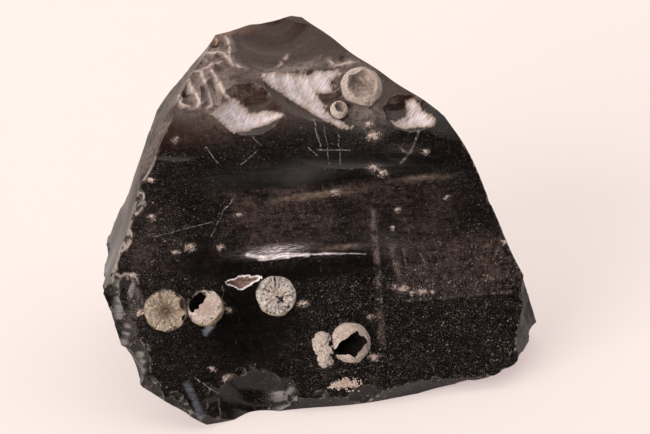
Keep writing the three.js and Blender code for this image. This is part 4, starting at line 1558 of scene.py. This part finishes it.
def crystal_paint(flake):
    tone = TONES.get(flake.name) or TONES[flake.slot]
    paint = Paint(flake.name)
    on = Crystal(paint, flake)
    color = paint.mix(paint.step(0.08, 0.55, on.share), tone.middle, tone.body)
    paler = paint.step(0.5, 0.95, on.share + (on.fibres - 0.5) * 1.2)
    color = paint.mix(paler, color, tone.rim)
    finish = broken_face if flake.fan else crumbly_ball
    color, height = finish(paint, on, tone, color)
    # Painted highlight: the snowflakes' sharp edges are lightened towards the rim colour.
    rim_highlight = paint.step(0.3, 0.0, paint.stored("rim") + (on.grain - 0.5) * 0.4)
    color = paint.mix(rim_highlight * 0.5, color, tone.rim)
    color = paint.mix(paint.step(0.42, 0.3, on.grain) * 0.8, color, tone.pit)
    # Painted shade: caves and cracks, where little light gets in, are darkened in the colour; the grey
    # snowflakes less so.
    cave_shade = paint.step(0.62, 0.28, paint.stored("open") + (on.lumps - 0.5) * 0.2)
    depth = 0.4 if flake.slot == "snowflake_grey" else 1.0
    color = paint.mix(cave_shade * depth, color, CAVE_SHADE)
    relief = paint.bump(height, CRYSTAL_RELIEF)
    paint.set(base_color=color, roughness=CRYSTAL_ROUGHNESS, ior=CRYSTAL_IOR, normal=relief)
    return paint.material


print("tones for", sorted(TONES))

# %% [markdown]
# ## Into the frame
#
# Every mesh is now scaled to metres and moved over the frame's origin. Bumps may stand a hair
# proud of the CAD solid, and clamping to its box keeps the stone's size exact.

# %% Finish the pieces
GLASS_SMOOTH_BELOW, CRYSTAL_SMOOTH_BELOW = math.radians(24), math.radians(40)
stone_low, stone_high = (np.array(corner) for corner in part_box("obsidian_block"))


def finish_piece(piece, material, node, smooth_below):
    points = (points_of(piece.data) - (*FOOTPRINT_MIDDLE, 0)) * MM
    points = np.clip(points, stone_low, stone_high)
    piece.data.vertices.foreach_set("co", points.ravel())
    piece.data.materials.clear()
    piece.data.materials.append(material)
    piece.data.shade_smooth()
    piece.data.set_sharp_from_angle(angle=smooth_below)
    piece.data.update()
    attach(piece, "root")
    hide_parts(node)


finish_piece(glass, obsidian.material, "obsidian_block", GLASS_SMOOTH_BELOW)
for flake, piece in zip(SNOWFLAKES, flakes):
    finish_piece(piece, crystal_paint(flake), flake.name, CRYSTAL_SMOOTH_BELOW)
print(1 + len(flakes), "pieces in the frame")

# %% [markdown]
# ## Floor and light
#
# A large soft lamp overhead gives the pale floor, the soft shadow and the grey mirror image on
# the shoulder. Black glass needs dark surroundings, or it turns grey: so the sky is dim, and
# the second lamp stands far out to the left, low enough that the front doesn't mirror it. It
# lights the chips, ribs and snowflakes on that side. The floor glows a little, as a lit studio
# floor does.

# %% Floor and lamps
FLOOR_REACH = 3
FLOOR_COLOR, FLOOR_GLOW_COLOR, FLOOR_GLOW = (0.32, 0.355, 0.33, 1), (1, 0.79, 0.785, 1), 0.54
SKY_COLOR, SKY_STRENGTH = (1, 0.93, 0.89, 1), 0.04

floor_paint = Paint("floor")
floor_paint.set(base_color=FLOOR_COLOR, roughness=0.9)
floor_paint.set(emission_color=FLOOR_GLOW_COLOR, emission_strength=FLOOR_GLOW)
floor_paint.shader.inputs["Specular IOR Level"].default_value = 0.1
floor_corners = [(x * FLOOR_REACH, y * FLOOR_REACH, 0) for x, y in ((-1, -1), (1, -1), (1, 1), (-1, 1))]
floor = put_in_scene(mesh_object("floor", floor_corners, [(0, 1, 2, 3)]))
floor.data.materials.append(floor_paint.material)


def lamp(name, place, target, size, power, color):
    light = bpy.data.lights.new(name, "AREA")
    light.shape, light.size, light.size_y = "RECTANGLE", size[0], size[1]
    light.energy, light.color = power, color
    holder = put_in_scene(bpy.data.objects.new(name, light))
    holder.location = place
    holder.rotation_euler = (Vector(target) - Vector(place)).to_track_quat("-Z", "Y").to_euler()
    return holder


lamps = [
    lamp("ceiling", (0, 0.79, 1.0), (0, 0.79, 0), (3.2, 2.3), 39, (1, 0.885, 0.82)),
    lamp("fill", (-1.25, -1.25, 0.68), (0, 0, 0.03), (1.3, 1.1), 52, (1, 0.88, 0.81)),
]

world = bpy.data.worlds.new("dim room")
world.use_nodes = True
sky = world.node_tree.nodes["Background"]
sky.inputs["Color"].default_value = SKY_COLOR
sky.inputs["Strength"].default_value = SKY_STRENGTH
bpy.context.scene.world = world
bpy.context.scene.view_settings.view_transform = "Standard"
print("lamps:", [(holder.name, holder.data.energy) for holder in lamps])

# %% [markdown]
# ## Camera
#
# A long lens from some way off keeps the stone's proportions true. The camera looks down at it
# by 27 degrees, so that the front and the shoulder both show.

# %% Camera
LENS = 104.12
CAMERA_PLACE = Vector((0.000466, -0.42829, 0.25408))
CAMERA_TARGET = Vector((0.000466, -0.00951, 0.0407))
camera = put_in_scene(bpy.data.objects.new("camera", bpy.data.cameras.new("camera")))
camera.data.lens = LENS
camera.location = CAMERA_PLACE
camera.rotation_euler = (CAMERA_TARGET - CAMERA_PLACE).to_track_quat("-Z", "Y").to_euler()
bpy.context.scene.camera = camera
print("camera", [round(1000 * side) for side in camera.location], "mm")
